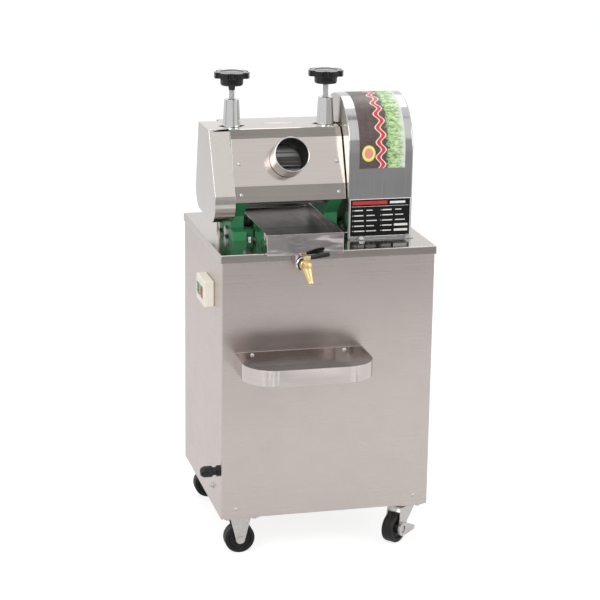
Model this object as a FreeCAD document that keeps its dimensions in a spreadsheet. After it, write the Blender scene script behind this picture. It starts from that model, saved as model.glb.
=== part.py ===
"""Motor-driven three-roller sugarcane juicer on a wheeled cabinet.

Frame: +Z up, origin on the floor under the middle of the machine, X to the machine's right,
-Y to its front. Lengths are millimetres. Every driving dimension is a cell of the sheet
"Sizes"; each sub-part reads those cells through expressions.
"""
import FreeCAD, Part
import math
import os

import Sketcher

os.makedirs("parts", exist_ok=True)
doc = FreeCAD.newDocument("CaneJuicer")
Vector = FreeCAD.Vector

# ------------------------------------------------------------------ driving dimensions

SIZES = {
    # where the cabinet stands, and the play between pieces
    "cabinet_x": 19.5, "cabinet_y": 68.5, "gap": 0.3, "run": 0.05, "sheet": 1.5,
    # cabinet
    "cabinet_width": 456, "cabinet_depth": 403, "cabinet_height": 574.5, "return_flange": 16,
    "lid_over": 3, "lid_lip": 17,
    "base_thick": 3, "base_lip": 25,
    "louvre_length": 80, "louvre_height": 5, "louvre_pitch": 16, "louvre_count": 8,
    "louvre_base": 90, "louvre_spread": 55,
    # casters
    "caster_height": 88, "caster_inset_x": 46, "caster_inset_y": 33.5, "caster_plate_x": 76,
    "caster_plate_y": 60, "caster_plate_thick": 3, "caster_bolt_x": 58, "caster_bolt_y": 42,
    "caster_bolt_radius": 3, "caster_bolt_flats": 10, "caster_bolt_head": 4,
    "wheel_radius": 32.5, "wheel_width": 26, "wheel_hub_radius": 11, "wheel_hub_proud": 1,
    "tyre_inset": 10, "tyre_shoulder": 8, "tyre_round": 3, "wheel_dish": 4, "hub_draft": 1,
    "axle_radius": 4, "axle_head_radius": 6.5, "axle_head": 4,
    "cheek_thick": 2.5, "cheek_play": 1.7, "bracket_width": 46, "bracket_toe": 10,
    "race_radius": 21, "race_height": 5, "kingpin_radius": 6, "kingpin_head_radius": 10,
    "kingpin_head": 4, "crown_thick": 3, "crown_reach": 22, "swivel_trail": 28,
    "front_trail_turn": 220, "rear_trail_turn": 165,
    "pedal_radius": 15, "pedal_thick": 6, "pedal_reach": 46, "pedal_tip": 6, "pedal_rest": 10,
    # cup shelf on the front
    "shelf_width": 275, "shelf_depth": 140, "shelf_height": 35, "shelf_radius": 65,
    "shelf_shift": 64.5, "shelf_level": 332,
    # switch box, cable gland and earth screw on the left side
    "switch_out": 22, "switch_length": 83, "switch_height": 56, "switch_level": 446,
    "switch_ahead": 83.5, "button_length": 28, "button_height": 25, "button_thick": 9,
    "button_well": 14, "button_sunk": 1, "button_bridge": 4,
    "gland_ahead": 190, "gland_level": 106, "gland_bore": 4.5, "gland_thread": 8,
    "gland_flats": 22, "gland_nut": 9, "gland_reach": 42, "gland_tip": 7,
    "earth_ahead": 115, "earth_level": 46, "earth_radius": 5, "earth_out": 9,
    # head: where it stands, its two frames and rollers
    "head_shift": 64, "frame_spacing": 176, "frame_thick": 28, "frame_height": 228.5,
    "top_reach": 40.5, "strip_reach": 54.5, "strip_drop": 17,
    "plate_reach": 91.5, "plate_drop": 110.5, "lip_reach": 99.5, "lip_drop": 143.5,
    "waist_reach": 60, "waist_height": 48, "waist_step": 4, "foot_reach": 82, "foot_height": 19,
    "toe_width": 43, "toe_length": 37, "toe_slot": 19, "toe_slot_in": 2,
    "roller_drop": 62.5, "roller_radius": 37.5, "roller_length": 172,
    "lower_spread": 46, "journal_radius": 15, "bush_radius": 19,
    "flute_count": 24, "flute_depth": 1.8, "flute_half": 2.2,
    "block_width": 56, "block_height": 62, "block_below": 29, "window_drop": 22.5,
    "tie_radius": 7, "tie_spread": 30, "tie_height": 11, "top_tie_y": 54, "top_tie_drop": 28.5,
    "tie_nut_radius": 9.5, "tie_nut": 6,
    "turner_half": 9, "turner_waist": 6.5, "turner_root": 8, "turner_foot": 10, "turner_up": 18, "turner_down": 27.5,
    # pressure screws
    "screw_radius": 6, "sleeve_foot": 19, "sleeve_top": 15.5, "sleeve_height": 60,
    "knob_rise": 116.5, "knob_radius": 37.5, "knob_disc": 12.5, "knob_hub_radius": 24.5,
    "knob_hub": 16, "knob_lobes": 7, "knob_notch_radius": 9, "knob_notch_centre": 40.5,
    "screw_seat": 14,
    # gears
    "roller_module": 4, "roller_teeth": 19, "roller_gear_width": 22,
    "drive_module": 3, "gear_teeth": 66, "pinion_teeth": 12, "gear_width": 24,
    "pinion_width": 28, "flank_play": 0.3, "gear_standoff": 2.5,
    # hood
    "hood_left": 116, "hood_right": 124, "hood_rear": 88, "hood_drop": 40,
    "feed_radius": 38, "feed_wall": 2, "feed_out": 48, "feed_in": 8, "feed_tilt": 24,
    "feed_drop": 60.5, "feed_shift": 2, "sleeve_opening": 30,
    # left gear cover
    "cover_width": 44, "cover_front_low": 76, "cover_below": 63.5, "cover_belly": 107,
    "cover_belly_drop": 4.5, "cover_top_front": 38, "cover_top_rear": 66,
    "cover_rear": 97, "cover_rear_drop": 21.5, "cover_rear_low": 60, "cover_curve": 48,
    "cover_tab": 22,
    # drive cover
    "arch_left": 126, "arch_width": 141, "arch_radius": 112, "arch_rise": 17,
    "arch_flange": 15, "arch_shaft_hole": 19,
    # countershaft, pulleys and belt
    "counter_radius": 10, "counter_end": 238, "block_a": 158, "block_b": 212, "pillow_thick": 22,
    "pillow_base": 110, "pillow_foot": 14, "pillow_round": 27,
    "pulley_x": 195, "pulley_width": 22, "big_pitch": 96, "small_pitch": 24, "pulley_rim": 4,
    "belt_width": 10.4, "belt_thick": 8, "pulley_hub": 18, "pulley_web": 8, "rim_thick": 10,
    "slot_play": 5,
    # motor
    "motor_height": 150, "motor_radius": 70, "motor_length": 190, "motor_end": 84,
    "motor_fins": 24, "fin_depth": 6, "fin_half": 3, "motor_foot": 80, "motor_foot_spread": 62,
    "motor_foot_thick": 8, "motor_shaft": 9.5, "fan_cover": 42, "fan_cover_radius": 67,
    "mount_half": 95, "mount_toe": 20, "mount_thick": 3, "mount_length": 170,
    "box_length": 80, "box_width": 60, "box_height": 30,
    # juice tray and tap
    "tray_shift": 5, "tray_width": 162, "tray_overhang": 26.5, "tray_height": 44, "tray_skirt": 96,
    "tray_floor": 22, "tray_floor_rear": 30, "tray_rear": 84, "tray_lip": 8,
    "tray_lip_length": 148, "outlet_radius": 8, "outlet_ahead": 12.5,
    "outlet_drop": 19, "outlet_shift": 12, "collar_radius": 14.5, "collar_length": 9,
    "tap_turn": 20, "tap_reach": 10, "tap_body_radius": 11, "tap_body_length": 24,
    "stem_radius": 7.5, "stem_height": 12, "spout_radius": 10, "spout_tip": 6.5,
    "spout_length": 36, "spout_lean": 26, "lever_radius": 3.5, "sleeve_radius": 5,
    "lever_length": 48, "lever_lift": 10, "lever_turn": -8,
    # discharge chute
    "chute_y": 79, "chute_drop": 99.5, "chute_length": 84, "chute_wall": 26, "chute_fall": 20,
    # small screws
    "cover_screw_left": 102, "cover_screw_right": 109, "cover_screw_high": 66.5,
    "cover_screw_low": 128.5, "screw_head": 4.5, "screw_head_high": 2.6, "bolt_flats": 13, "bolt_head": 6,
}

sheet = doc.addObject("Spreadsheet::Sheet", "Sizes")
for row, (alias, number) in enumerate(SIZES.items(), start=1):
    sheet.set(f"A{row}", alias)
    sheet.set(f"B{row}", str(number))
    sheet.setAlias(f"B{row}", alias)
doc.recompute()


class Size:
    """A length or angle, kept as its number and as the sheet expression that gives it."""

    def __init__(self, text, value):
        self.text = text
        self.value = value

    def __add__(self, other):
        other = size_of(other)
        return Size(f"({self.text} + {other.text})", self.value + other.value)

    def __sub__(self, other):
        other = size_of(other)
        return Size(f"({self.text} - {other.text})", self.value - other.value)

    def __mul__(self, other):
        other = size_of(other)
        return Size(f"({self.text} * {other.text})", self.value * other.value)

    def __truediv__(self, other):
        other = size_of(other)
        return Size(f"({self.text} / {other.text})", self.value / other.value)

    def __rsub__(self, other):
        return size_of(other) - self

    def __rtruediv__(self, other):
        return size_of(other) / self

    def __neg__(self):
        return Size(f"(-{self.text})", -self.value)

    __radd__ = __add__
    __rmul__ = __mul__


def size_of(number):
    """A plain number as a Size; a Size as it is."""
    return number if isinstance(number, Size) else Size(f"({number})", number)


def root(size):
    """The square root of a Size."""
    return Size(f"sqrt({size.text})", math.sqrt(size.value))


def sine(angle):
    """The sine of an angle in degrees."""
    return Size(f"sin({angle.text})", math.sin(math.radians(angle.value)))


def cosine(angle):
    """The cosine of an angle in degrees."""
    return Size(f"cos({angle.text})", math.cos(math.radians(angle.value)))


class SheetSizes:
    """Reads a cell of the sheet as a Size, by its alias."""

    def __getattr__(self, alias):
        return Size(f"Sizes.{alias}", float(sheet.get(alias)))


s = SheetSizes()

# ------------------------------------------------------------------ building blocks

PLAN = FreeCAD.Rotation()
SIDE = FreeCAD.Rotation(Vector(0, 1, 0), Vector(0, 0, 1), Vector(1, 0, 0), "ZXY")
FRONT = FreeCAD.Rotation(Vector(1, 0, 0), Vector(0, 0, 1), Vector(0, -1, 0), "ZXY")
ALONG = {
    "X": FreeCAD.Rotation(Vector(0, 1, 0), 90),
    "Y": FreeCAD.Rotation(Vector(1, 0, 0), -90),
    "-Y": FreeCAD.Rotation(Vector(1, 0, 0), 90),
    "Z": PLAN,
}
PIECES = {}


def bind(item, path, size):
    """Ties one property of an object to the sheet."""
    item.setExpression(path, size_of(size).text)


def put(item, at=(0, 0, 0), turn=PLAN):
    """Turns an object and ties its place to the sheet."""
    item.Placement = FreeCAD.Placement(Vector(), turn)
    for axis, size in zip("xyz", at):
        bind(item, f"Placement.Base.{axis}", size)
    return item


def piece(node, item):
    """Names a finished sub-part; its label is the name of its file."""
    item.Label = node
    PIECES[node] = item
    return item


def box(name, low, span):
    """A block from its lowest corner and its length along each axis."""
    item = doc.addObject("Part::Box", name)
    for path, size in zip(("Length", "Width", "Height"), span):
        bind(item, path, size)
    return put(item, low)


def rod(name, start, radius, length, along="Z"):
    """A cylinder whose first end is centred on start."""
    item = doc.addObject("Part::Cylinder", name)
    bind(item, "Radius", radius)
    bind(item, "Height", length)
    return put(item, start, ALONG[along])


def taper(name, start, first, last, length, along="Z"):
    """A cone from its first radius to its last one."""
    item = doc.addObject("Part::Cone", name)
    bind(item, "Radius1", first)
    bind(item, "Radius2", last)
    bind(item, "Height", length)
    return put(item, start, ALONG[along])


def hexagon(name, start, flats, length, along="Z"):
    """A hexagonal prism measured across its flats."""
    item = doc.addObject("Part::Prism", name)
    item.Polygon = 6
    bind(item, "Circumradius", flats / math.sqrt(3))
    bind(item, "Height", length)
    return put(item, start, ALONG[along])


def cut(name, base, *tools):
    """The base with every tool taken out of it."""
    item = doc.addObject("Part::Cut", name)
    item.Base = base
    item.Tool = tools[0] if len(tools) == 1 else fuse(name + "_tools", *tools)
    return item


def fuse(name, *parts):
    """Several shapes made one."""
    item = doc.addObject("Part::MultiFuse", name)
    item.Shapes = list(parts)
    item.Refine = True
    return item


def group(name, *parts):
    """Separate solids that share one node."""
    item = doc.addObject("Part::Compound", name)
    item.Links = list(parts)
    return item


def origin_of(body, role):
    """One of a body's own planes or axes."""
    return next(item for item in body.Origin.OriginFeatures if item.Role == role)


def body_of(name):
    """An empty body."""
    return doc.addObject("PartDesign::Body", name)


def sketch_on(body, name, lift=None, plane="XY_Plane"):
    """A sketch on one of the body's planes, lifted off it by a size; no body makes it free."""
    if body is None:
        return doc.addObject("Sketcher::SketchObject", name)
    sketch = body.newObject("Sketcher::SketchObject", name)
    sketch.AttachmentSupport = (origin_of(body, plane), [""])
    sketch.MapMode = "FlatFace"
    if lift is not None:
        bind(sketch, "AttachmentOffset.Base.z", lift)
    return sketch


def fix_point(sketch, edge, end, x, y):
    """Holds one end of an edge at sheet sizes."""
    for kind, size in (("DistanceX", size_of(x)), ("DistanceY", size_of(y))):
        index = sketch.addConstraint(Sketcher.Constraint(kind, -1, 1, edge, end, size.value))
        sketch.setExpression(f"Constraints[{index}]", size.text)


def bulge(start, end, radius, clockwise):
    """The middle of the short arc between two points."""
    chord = end - start
    middle = (start + end) / 2
    rise = radius - math.sqrt(max(radius ** 2 - (chord.Length / 2) ** 2, 0))
    side = Vector(-chord.y, chord.x, 0).normalize()
    return middle + side * (rise if clockwise else -rise)


def draw(sketch, corners, closed=True):
    """Draws a line through corners; a third value is the radius of the arc that ends there.

    A positive radius turns clockwise, a negative one counter-clockwise.
    """
    corners = [tuple(size_of(value) for value in corner) for corner in corners]
    spots = [Vector(corner[0].value, corner[1].value, 0) for corner in corners]
    count = len(corners)
    edges = []
    ends = []
    for first in range(count if closed else count - 1):
        last = (first + 1) % count
        clockwise = len(corners[last]) == 3 and corners[last][2].value > 0
        if len(corners[last]) == 3:
            middle = bulge(spots[first], spots[last], abs(corners[last][2].value), clockwise)
            # arcs are held counter-clockwise, so a clockwise one starts at its last corner
            tips = (spots[last], spots[first]) if clockwise else (spots[first], spots[last])
            curve = Part.Arc(tips[0], middle, tips[1])
        else:
            curve = Part.LineSegment(spots[first], spots[last])
        edges.append(sketch.addGeometry(curve, False))
        ends.append((2, 1) if clockwise else (1, 2))
    for first, edge in enumerate(edges):
        following = (first + 1) % len(edges)
        if closed or first + 1 < len(edges):
            sketch.addConstraint(Sketcher.Constraint(
                "Coincident", edge, ends[first][1], edges[following], ends[following][0]))
        fix_point(sketch, edge, ends[first][0], corners[first][0], corners[first][1])
        last = corners[(first + 1) % count]
        if len(last) == 3:
            radius = last[2] if last[2].value > 0 else -last[2]
            index = sketch.addConstraint(Sketcher.Constraint("Radius", edge, radius.value))
            sketch.setExpression(f"Constraints[{index}]", radius.text)
    if not closed:
        fix_point(sketch, edges[-1], ends[-1][1], corners[-1][0], corners[-1][1])
    return sketch


def ring(sketch, x, y, radius):
    """Adds a circle to a sketch."""
    x, y, radius = size_of(x), size_of(y), size_of(radius)
    edge = sketch.addGeometry(
        Part.Circle(Vector(x.value, y.value, 0), Vector(0, 0, 1), radius.value), False)
    fix_point(sketch, edge, 3, x, y)
    index = sketch.addConstraint(Sketcher.Constraint("Radius", edge, radius.value))
    sketch.setExpression(f"Constraints[{index}]", radius.text)
    return sketch


def pad(body, sketch, length, both_ways=False):
    """Raises a sketch into the body."""
    feature = body.newObject("PartDesign::Pad", sketch.Name + "_pad")
    feature.Profile = sketch
    feature.SideType = "Symmetric" if both_ways else "One side"
    bind(feature, "Length", length)
    return feature


def pocket(body, sketch, depth=None, both_ways=False):
    """Cuts a sketch down into the body, or right through it."""
    feature = body.newObject("PartDesign::Pocket", sketch.Name + "_pocket")
    feature.Profile = sketch
    if depth is None:
        feature.Type = "ThroughAll"
        feature.SideType = "Symmetric"
    else:
        feature.SideType = "Symmetric" if both_ways else "One side"
        bind(feature, "Length", depth)
    return feature


def repeat_round(body, feature, count):
    """Repeats a feature evenly round the body's Z axis."""
    pattern = body.newObject("PartDesign::PolarPattern", feature.Name + "_round")
    pattern.Originals = [feature]
    pattern.Axis = (origin_of(body, "Z_Axis"), [""])
    pattern.Angle = 360
    bind(pattern, "Occurrences", count)
    body.Tip = pattern
    return pattern


def repeat_along(body, feature, axis, span, count):
    """Repeats a feature along one of the body's axes."""
    pattern = body.newObject("PartDesign::LinearPattern", feature.Name + "_row")
    pattern.Originals = [feature]
    pattern.Direction = (origin_of(body, axis), [""])
    bind(pattern, "Length", span)
    bind(pattern, "Occurrences", count)
    body.Tip = pattern
    return pattern


def plate(name, corners, length, at, turn=SIDE, both_ways=False, holes=()):
    """A body with one outline; holes are (x, y, radius)."""
    body = body_of(name)
    sketch = draw(sketch_on(body, name + "_outline"), corners)
    for x, y, radius in holes:
        ring(sketch, x, y, radius)
    pad(body, sketch, length, both_ways)
    return put(body, at, turn)


def turned(name, corners, at, turn=PLAN):
    """A body of revolution about its own X axis; corners are (along, radius)."""
    body = body_of(name)
    sketch = draw(sketch_on(body, name + "_half"), corners)
    feature = body.newObject("PartDesign::Revolution", name + "_turned")
    feature.Profile = sketch
    feature.ReferenceAxis = (origin_of(body, "X_Axis"), [""])
    feature.Angle = 360
    return put(body, at, turn)


def folded(name, corners, wall, width, at, turn=SIDE):
    """Sheet metal folded along a line and drawn out to a width; the wall lies right of travel."""
    line = draw(sketch_on(None, name + "_line"), corners, closed=False)
    strip = doc.addObject("Part::Offset2D", name + "_strip")
    strip.Source = line
    strip.Mode = "Skin"
    strip.Join = "Intersection"
    strip.Fill = True
    bind(strip, "Value", wall)
    return drawn_out(name, strip, width, at, turn)


def drawn_out(name, face, width, at, turn=SIDE):
    """A flat face drawn out along its normal."""
    item = doc.addObject("Part::Extrusion", name)
    item.Base = face
    item.DirMode = "Normal"
    item.Solid = True
    bind(item, "LengthFwd", width)
    return put(item, at, turn)


# ------------------------------------------------------------------ shared places

left = s.cabinet_x - s.cabinet_width / 2
right = s.cabinet_x + s.cabinet_width / 2
front = s.cabinet_y - s.cabinet_depth / 2
back = s.cabinet_y + s.cabinet_depth / 2
floor = s.caster_height
shell_top = floor + s.cabinet_height
lid = shell_top + s.sheet

head_x = s.cabinet_x - s.head_shift
head_y = s.cabinet_y
half_gap = s.frame_spacing / 2
frame_out = half_gap + s.frame_thick
top_roller_height = s.frame_height - s.roller_drop
top_z = lid + top_roller_height
roller_pitch = s.roller_module * s.roller_teeth
lower_drop = root(roller_pitch * roller_pitch - s.lower_spread * s.lower_spread)
lower_height = top_roller_height - lower_drop
lower_z = lid + lower_height
gear_drop = s.drive_module * (s.gear_teeth + s.pinion_teeth) / 2
counter_height = top_roller_height - gear_drop
counter_z = lid + counter_height
motor_z = floor + s.motor_height

lid_width = s.cabinet_width + 2 * s.lid_over
lid_depth = s.cabinet_depth + 2 * s.lid_over
caster_x = s.cabinet_width / 2 - s.caster_inset_x
caster_y = s.cabinet_depth / 2 - s.caster_inset_y
strip_height = s.frame_height - s.strip_drop
plate_height = s.frame_height - s.plate_drop
lip_height = s.frame_height - s.lip_drop
window_top = s.frame_height - s.window_drop
top_tie_height = s.frame_height - s.top_tie_drop
knob_height = s.frame_height + s.knob_rise
feed_height = s.frame_height - s.feed_drop
screw_row_high = s.frame_height - s.cover_screw_high
screw_row_low = s.frame_height - s.cover_screw_low
chute_height = s.frame_height - s.chute_drop
arch_spring = top_roller_height + s.arch_rise
turner_top = lower_height + s.turner_up
turner_base = lower_height - s.turner_down
tray_front = s.cabinet_depth / 2 + s.tray_overhang


# ------------------------------------------------------------------ cabinet

def make_cabinet():
    """Folded shell, louvred back, folded lid and base pan."""
    half_w = s.cabinet_width / 2
    half_d = s.cabinet_depth / 2
    piece("cabinet_shell", folded("cabinet_shell", [
        (half_w - s.return_flange, half_d - s.sheet),
        (half_w, half_d - s.sheet),
        (half_w, -half_d),
        (-half_w, -half_d),
        (-half_w, half_d - s.sheet),
        (s.return_flange - half_w, half_d - s.sheet),
    ], s.sheet, s.cabinet_height, (s.cabinet_x, s.cabinet_y, floor), PLAN))

    rear = body_of("rear_panel")
    pad(rear, draw(sketch_on(rear, "rear_outline"), [
        (-half_w, 0), (half_w, 0), (half_w, s.cabinet_height), (-half_w, s.cabinet_height),
    ]), s.sheet)
    louvres = sketch_on(rear, "louvres")
    for side in (-1, 1):
        near = s.louvre_spread * side - s.louvre_length / 2
        draw(louvres, [
            (near, s.louvre_base), (near + s.louvre_length, s.louvre_base),
            (near + s.louvre_length, s.louvre_base + s.louvre_height),
            (near, s.louvre_base + s.louvre_height),
        ])
    slots = pocket(rear, louvres)
    repeat_along(rear, slots, "Y_Axis", s.louvre_pitch * (s.louvre_count - 1), s.louvre_count)
    piece("rear_panel", put(rear, (s.cabinet_x, back, floor), FRONT))

    cap = box("lid_outside", (s.cabinet_x - lid_width / 2, s.cabinet_y - lid_depth / 2,
                              lid - s.lid_lip), (lid_width, lid_depth, s.lid_lip))
    hollow = box("lid_inside", (s.cabinet_x - lid_width / 2 + s.sheet,
                                s.cabinet_y - lid_depth / 2 + s.sheet, lid - s.lid_lip),
                 (lid_width - 2 * s.sheet, lid_depth - 2 * s.sheet, s.lid_lip - s.sheet))
    chord = s.big_pitch + s.pulley_rim
    belt_slot = box("belt_slot", (head_x + s.pulley_x - s.pulley_width / 2 - s.slot_play / 2,
                                  head_y - chord, lid - 2 * s.sheet),
                    (s.pulley_width + s.slot_play, chord * 2, 4 * s.sheet))
    piece("top_lid", cut("top_lid", cap, hollow, belt_slot))

    deep = s.cabinet_depth - 3 * s.sheet
    wide = s.cabinet_width - 2 * s.sheet
    pan = box("pan_outside", (left + s.sheet, front + s.sheet, floor), (wide, deep, s.base_lip))
    bowl = box("pan_inside", (left + s.sheet + s.base_thick, front + s.sheet + s.base_thick,
                              floor + s.base_thick),
               (wide - 2 * s.base_thick, deep - 2 * s.base_thick, s.base_lip))
    piece("base_pan", cut("base_pan", pan, bowl, *caster_holes("pan_hole")))


# ------------------------------------------------------------------ casters

def caster_spots():
    """The bolt centre of each caster: name, X and Y."""
    return [(f"{end}_{side}", s.cabinet_x + caster_x * x, s.cabinet_y + caster_y * y)
            for end, y in (("front", -1), ("rear", 1)) for side, x in (("left", -1), ("right", 1))]


def bolt_spots():
    """Every caster bolt's X and Y."""
    return [(x + s.caster_bolt_x * i / 2, y + s.caster_bolt_y * j / 2)
            for _, x, y in caster_spots() for i in (-1, 1) for j in (-1, 1)]


def caster_holes(name):
    """Cutters for the bolt holes in whatever lies at the cabinet's floor."""
    radius = s.caster_bolt_radius + s.run
    low = floor - 2 * s.caster_plate_thick
    deep = 2 * s.caster_plate_thick + 2 * s.base_thick
    return [rod(f"{name}_{i}", (x, y, low), radius, deep) for i, (x, y) in enumerate(bolt_spots())]


axle_drop = s.caster_height - s.caster_plate_thick - s.wheel_radius
fork_inside = s.wheel_width / 2 + s.wheel_hub_proud + s.cheek_play
fork_outside = fork_inside + s.cheek_thick


def caster_plate(name, x, y):
    """A drilled mounting plate under the cabinet."""
    low = (x - s.caster_plate_x / 2, y - s.caster_plate_y / 2, floor - s.caster_plate_thick)
    return box(name, low, (s.caster_plate_x, s.caster_plate_y, s.caster_plate_thick))


def make_bolts():
    """Caster plate bolts with their nuts inside the base pan."""
    bolts = []
    low = floor - s.caster_plate_thick
    for i, (x, y) in enumerate(bolt_spots()):
        head = hexagon(f"bolt_head_{i}", (x, y, low - s.caster_bolt_head),
                       s.caster_bolt_flats, s.caster_bolt_head)
        shank = rod(f"bolt_shank_{i}", (x, y, low), s.caster_bolt_radius,
                    s.caster_plate_thick + s.base_thick + s.caster_bolt_head)
        nut = hexagon(f"bolt_nut_{i}", (x, y, floor + s.base_thick),
                      s.caster_bolt_flats, s.caster_bolt_head)
        bolts.append(fuse(f"caster_bolt_{i}", head, shank, nut))
    piece("caster_bolts", group("caster_bolts", *bolts))


def wheel(name, x, y, turn):
    """A moulded wheel with a proud hub, dished sides and a rounded tread."""
    half = s.wheel_width / 2
    hub = half + s.wheel_hub_proud
    bore = s.axle_radius + s.run
    dish = half - s.wheel_dish
    edge = s.tyre_round
    hub_root = s.wheel_hub_radius + s.hub_draft
    shoulder = s.wheel_radius - s.tyre_shoulder
    inset = s.wheel_radius - s.tyre_inset
    body = turned(name, [
        (-hub, bore), (-hub, s.wheel_hub_radius), (-dish, hub_root), (-dish, inset),
        (-half, shoulder), (-half, s.wheel_radius - edge),
        (edge - half, s.wheel_radius, edge), (half - edge, s.wheel_radius),
        (half, s.wheel_radius - edge, edge), (half, shoulder),
        (dish, inset), (dish, hub_root), (hub, s.wheel_hub_radius),
        (hub, bore),
    ], (x, y, s.wheel_radius), turn)
    return piece(name, body)


def toe_outline(x, drop, radius):
    """The round end of a caster leg about its axle, from its front side to its back."""
    return [(x + radius, -drop), (x, -drop - radius, radius), (x - radius, -drop, radius)]


def make_rigid_casters():
    """Left casters: fixed V-shaped brackets, through axles and wheels that roll along X."""
    brackets = []
    for name, x, y in caster_spots():
        if "right" in name:
            continue
        cheeks = body_of(name + "_cheeks")
        half = s.bracket_width / 2
        pad(cheeks, ring(draw(sketch_on(cheeks, name + "_vee"), [
            (-half, 0), (half, 0)] + toe_outline(0, axle_drop, s.bracket_toe)),
            0, -axle_drop, s.axle_radius), fork_outside * 2, both_ways=True)
        pocket(cheeks, draw(sketch_on(cheeks, name + "_wheel_space"), [
            (-half, -s.cheek_thick), (half, -s.cheek_thick),
            (half, -s.caster_height), (-half, -s.caster_height)]),
            fork_inside * 2, both_ways=True)
        put(cheeks, (x, y, floor - s.caster_plate_thick), FRONT)
        plate_top = cut(name + "_plate", caster_plate(name + "_blank", x, y),
                        *caster_holes(name + "_plate_hole"))
        brackets.append(fuse(name + "_bracket", plate_top, cheeks))
        wheel(name + "_wheel", x, y, FreeCAD.Rotation(Vector(0, 0, 1), 90))
    piece("rigid_brackets", group("rigid_brackets", *brackets))


def make_axles():
    """Axle bolts of the two rigid casters."""
    axles = []
    for name, x, y in caster_spots():
        if "left" in name:
            axles.append(axle(name + "_axle", (x, y, s.wheel_radius), PLAN))
    piece("rigid_axles", group("rigid_axles", *axles))


def axle(name, at, turn):
    """A bolt through both cheeks, headed outside each of them."""
    shank = rod(name + "_shank", (0, -fork_outside, 0), s.axle_radius, fork_outside * 2, "Y")
    near = hexagon(name + "_head", (0, -fork_outside, 0), s.axle_head_radius * 2, s.axle_head, "-Y")
    far = hexagon(name + "_nut", (0, fork_outside, 0), s.axle_head_radius * 2, s.axle_head, "Y")
    return put(fuse(name, shank, near, far), at, turn)


def make_swivel_casters():
    """Right casters: swivel plates, trailing forks, wheels and brake pedals."""
    tops = []
    for name, x, y in caster_spots():
        if "left" in name:
            continue
        under = floor - s.caster_plate_thick
        plate_top = cut(name + "_plate", caster_plate(name + "_blank", x, y),
                        *caster_holes(name + "_plate_hole"))
        race = rod(name + "_race", (x, y, under - s.race_height), s.race_radius, s.race_height)
        crown_low = under - s.race_height - s.gap - s.crown_thick
        pin = rod(name + "_kingpin", (x, y, crown_low - s.gap), s.kingpin_radius,
                  s.crown_thick + 2 * s.gap)
        head = rod(name + "_kingpin_head", (x, y, crown_low - s.gap - s.kingpin_head),
                   s.kingpin_head_radius, s.kingpin_head)
        tops.append(fuse(name + "_top", plate_top, race, pin, head))

        trail_turn = s.front_trail_turn if "front" in name else s.rear_trail_turn
        turn = FreeCAD.Rotation(Vector(0, 0, 1), trail_turn.value) * FRONT
        crown_top = under - s.race_height - s.gap
        drop = crown_top - s.wheel_radius
        fork = body_of(name + "_fork_body")
        pad(fork, draw(sketch_on(fork, name + "_leg"), [
            (-s.crown_reach, 0), (s.swivel_trail, 0)]
            + toe_outline(s.swivel_trail, drop, s.bracket_toe)
            + [(-s.crown_reach, -s.crown_thick * 3)]), fork_outside * 2, both_ways=True)
        pocket(fork, draw(sketch_on(fork, name + "_fork_space"), [
            (-s.crown_reach, -s.crown_thick), (s.swivel_trail * 2, -s.crown_thick),
            (s.swivel_trail * 2, -s.caster_height), (-s.crown_reach, -s.caster_height)]),
            fork_inside * 2, both_ways=True)
        pocket(fork, ring(sketch_on(fork, name + "_king_hole", plane="XZ_Plane"),
                          0, 0, s.kingpin_radius + s.run), s.crown_thick * 2, both_ways=True)
        pocket(fork, ring(sketch_on(fork, name + "_axle_hole"),
                          s.swivel_trail, -drop, s.axle_radius))
        put(fork, (x, y, crown_top), turn)
        trail_x = x + s.swivel_trail * cosine(trail_turn)
        trail_y = y + s.swivel_trail * sine(trail_turn)
        spin = FreeCAD.Rotation(Vector(0, 0, 1), trail_turn.value)
        bolt = axle(name + "_axle", (trail_x, trail_y, s.wheel_radius), spin)
        end = name.split("_")[0]
        piece(end + "_swivel_fork", group(end + "_swivel_fork", fork, bolt))
        wheel(name + "_wheel", trail_x, trail_y, FreeCAD.Rotation(Vector(0, 0, 1), 90) * spin)
        make_pedal(end, trail_x, trail_y, spin, trail_turn)
    piece("swivel_plates", group("swivel_plates", *tops))


def make_pedal(end, x, y, spin, trail_turn):
    """A brake pedal that swings about the axle, outside the fork's near leg."""
    name = end + "_brake_pedal"
    body = body_of(name)
    tip = s.pedal_reach - s.pedal_tip
    outline = draw(sketch_on(body, name + "_outline"), [
        (0, s.pedal_radius, -s.pedal_radius), (-tip, s.pedal_tip),
        (-s.pedal_reach, 0, -s.pedal_tip), (-tip, -s.pedal_tip, -s.pedal_tip),
        (0, -s.pedal_radius), (s.pedal_radius, 0, -s.pedal_radius),
    ])
    ring(outline, 0, 0, s.axle_head_radius * 2 / math.sqrt(3) + s.gap)
    pad(body, outline, s.pedal_thick)
    side = fork_outside + s.gap + s.pedal_thick
    place_x = x - side * sine(trail_turn)
    place_y = y + side * cosine(trail_turn)
    rest = FreeCAD.Rotation(Vector(0, 0, 1), s.pedal_rest.value)
    piece(name, put(body, (place_x, place_y, s.wheel_radius), spin * FRONT * rest))


# ------------------------------------------------------------------ cabinet fittings

def shelf_outline(inset):
    """The cup shelf in plan: square at the wall, round at its two front corners."""
    half = s.shelf_width / 2 - inset
    deep = s.shelf_depth - inset
    radius = s.shelf_radius - inset
    return [
        (-half, -inset), (-half, radius - deep), (radius - half, -deep, -radius),
        (half - radius, -deep), (half, radius - deep, -radius), (half, -inset),
    ]


def make_cup_shelf():
    """A shallow tray with a tall polished band."""
    shelf = body_of("cup_shelf")
    pad(shelf, draw(sketch_on(shelf, "shelf_outside"), shelf_outline(size_of(0))), s.shelf_height)
    pocket(shelf, draw(sketch_on(shelf, "shelf_inside", s.shelf_height), shelf_outline(s.sheet)),
           s.shelf_height - s.sheet)
    piece("cup_shelf", put(shelf, (s.cabinet_x - s.shelf_shift, front, floor + s.shelf_level)))


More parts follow.
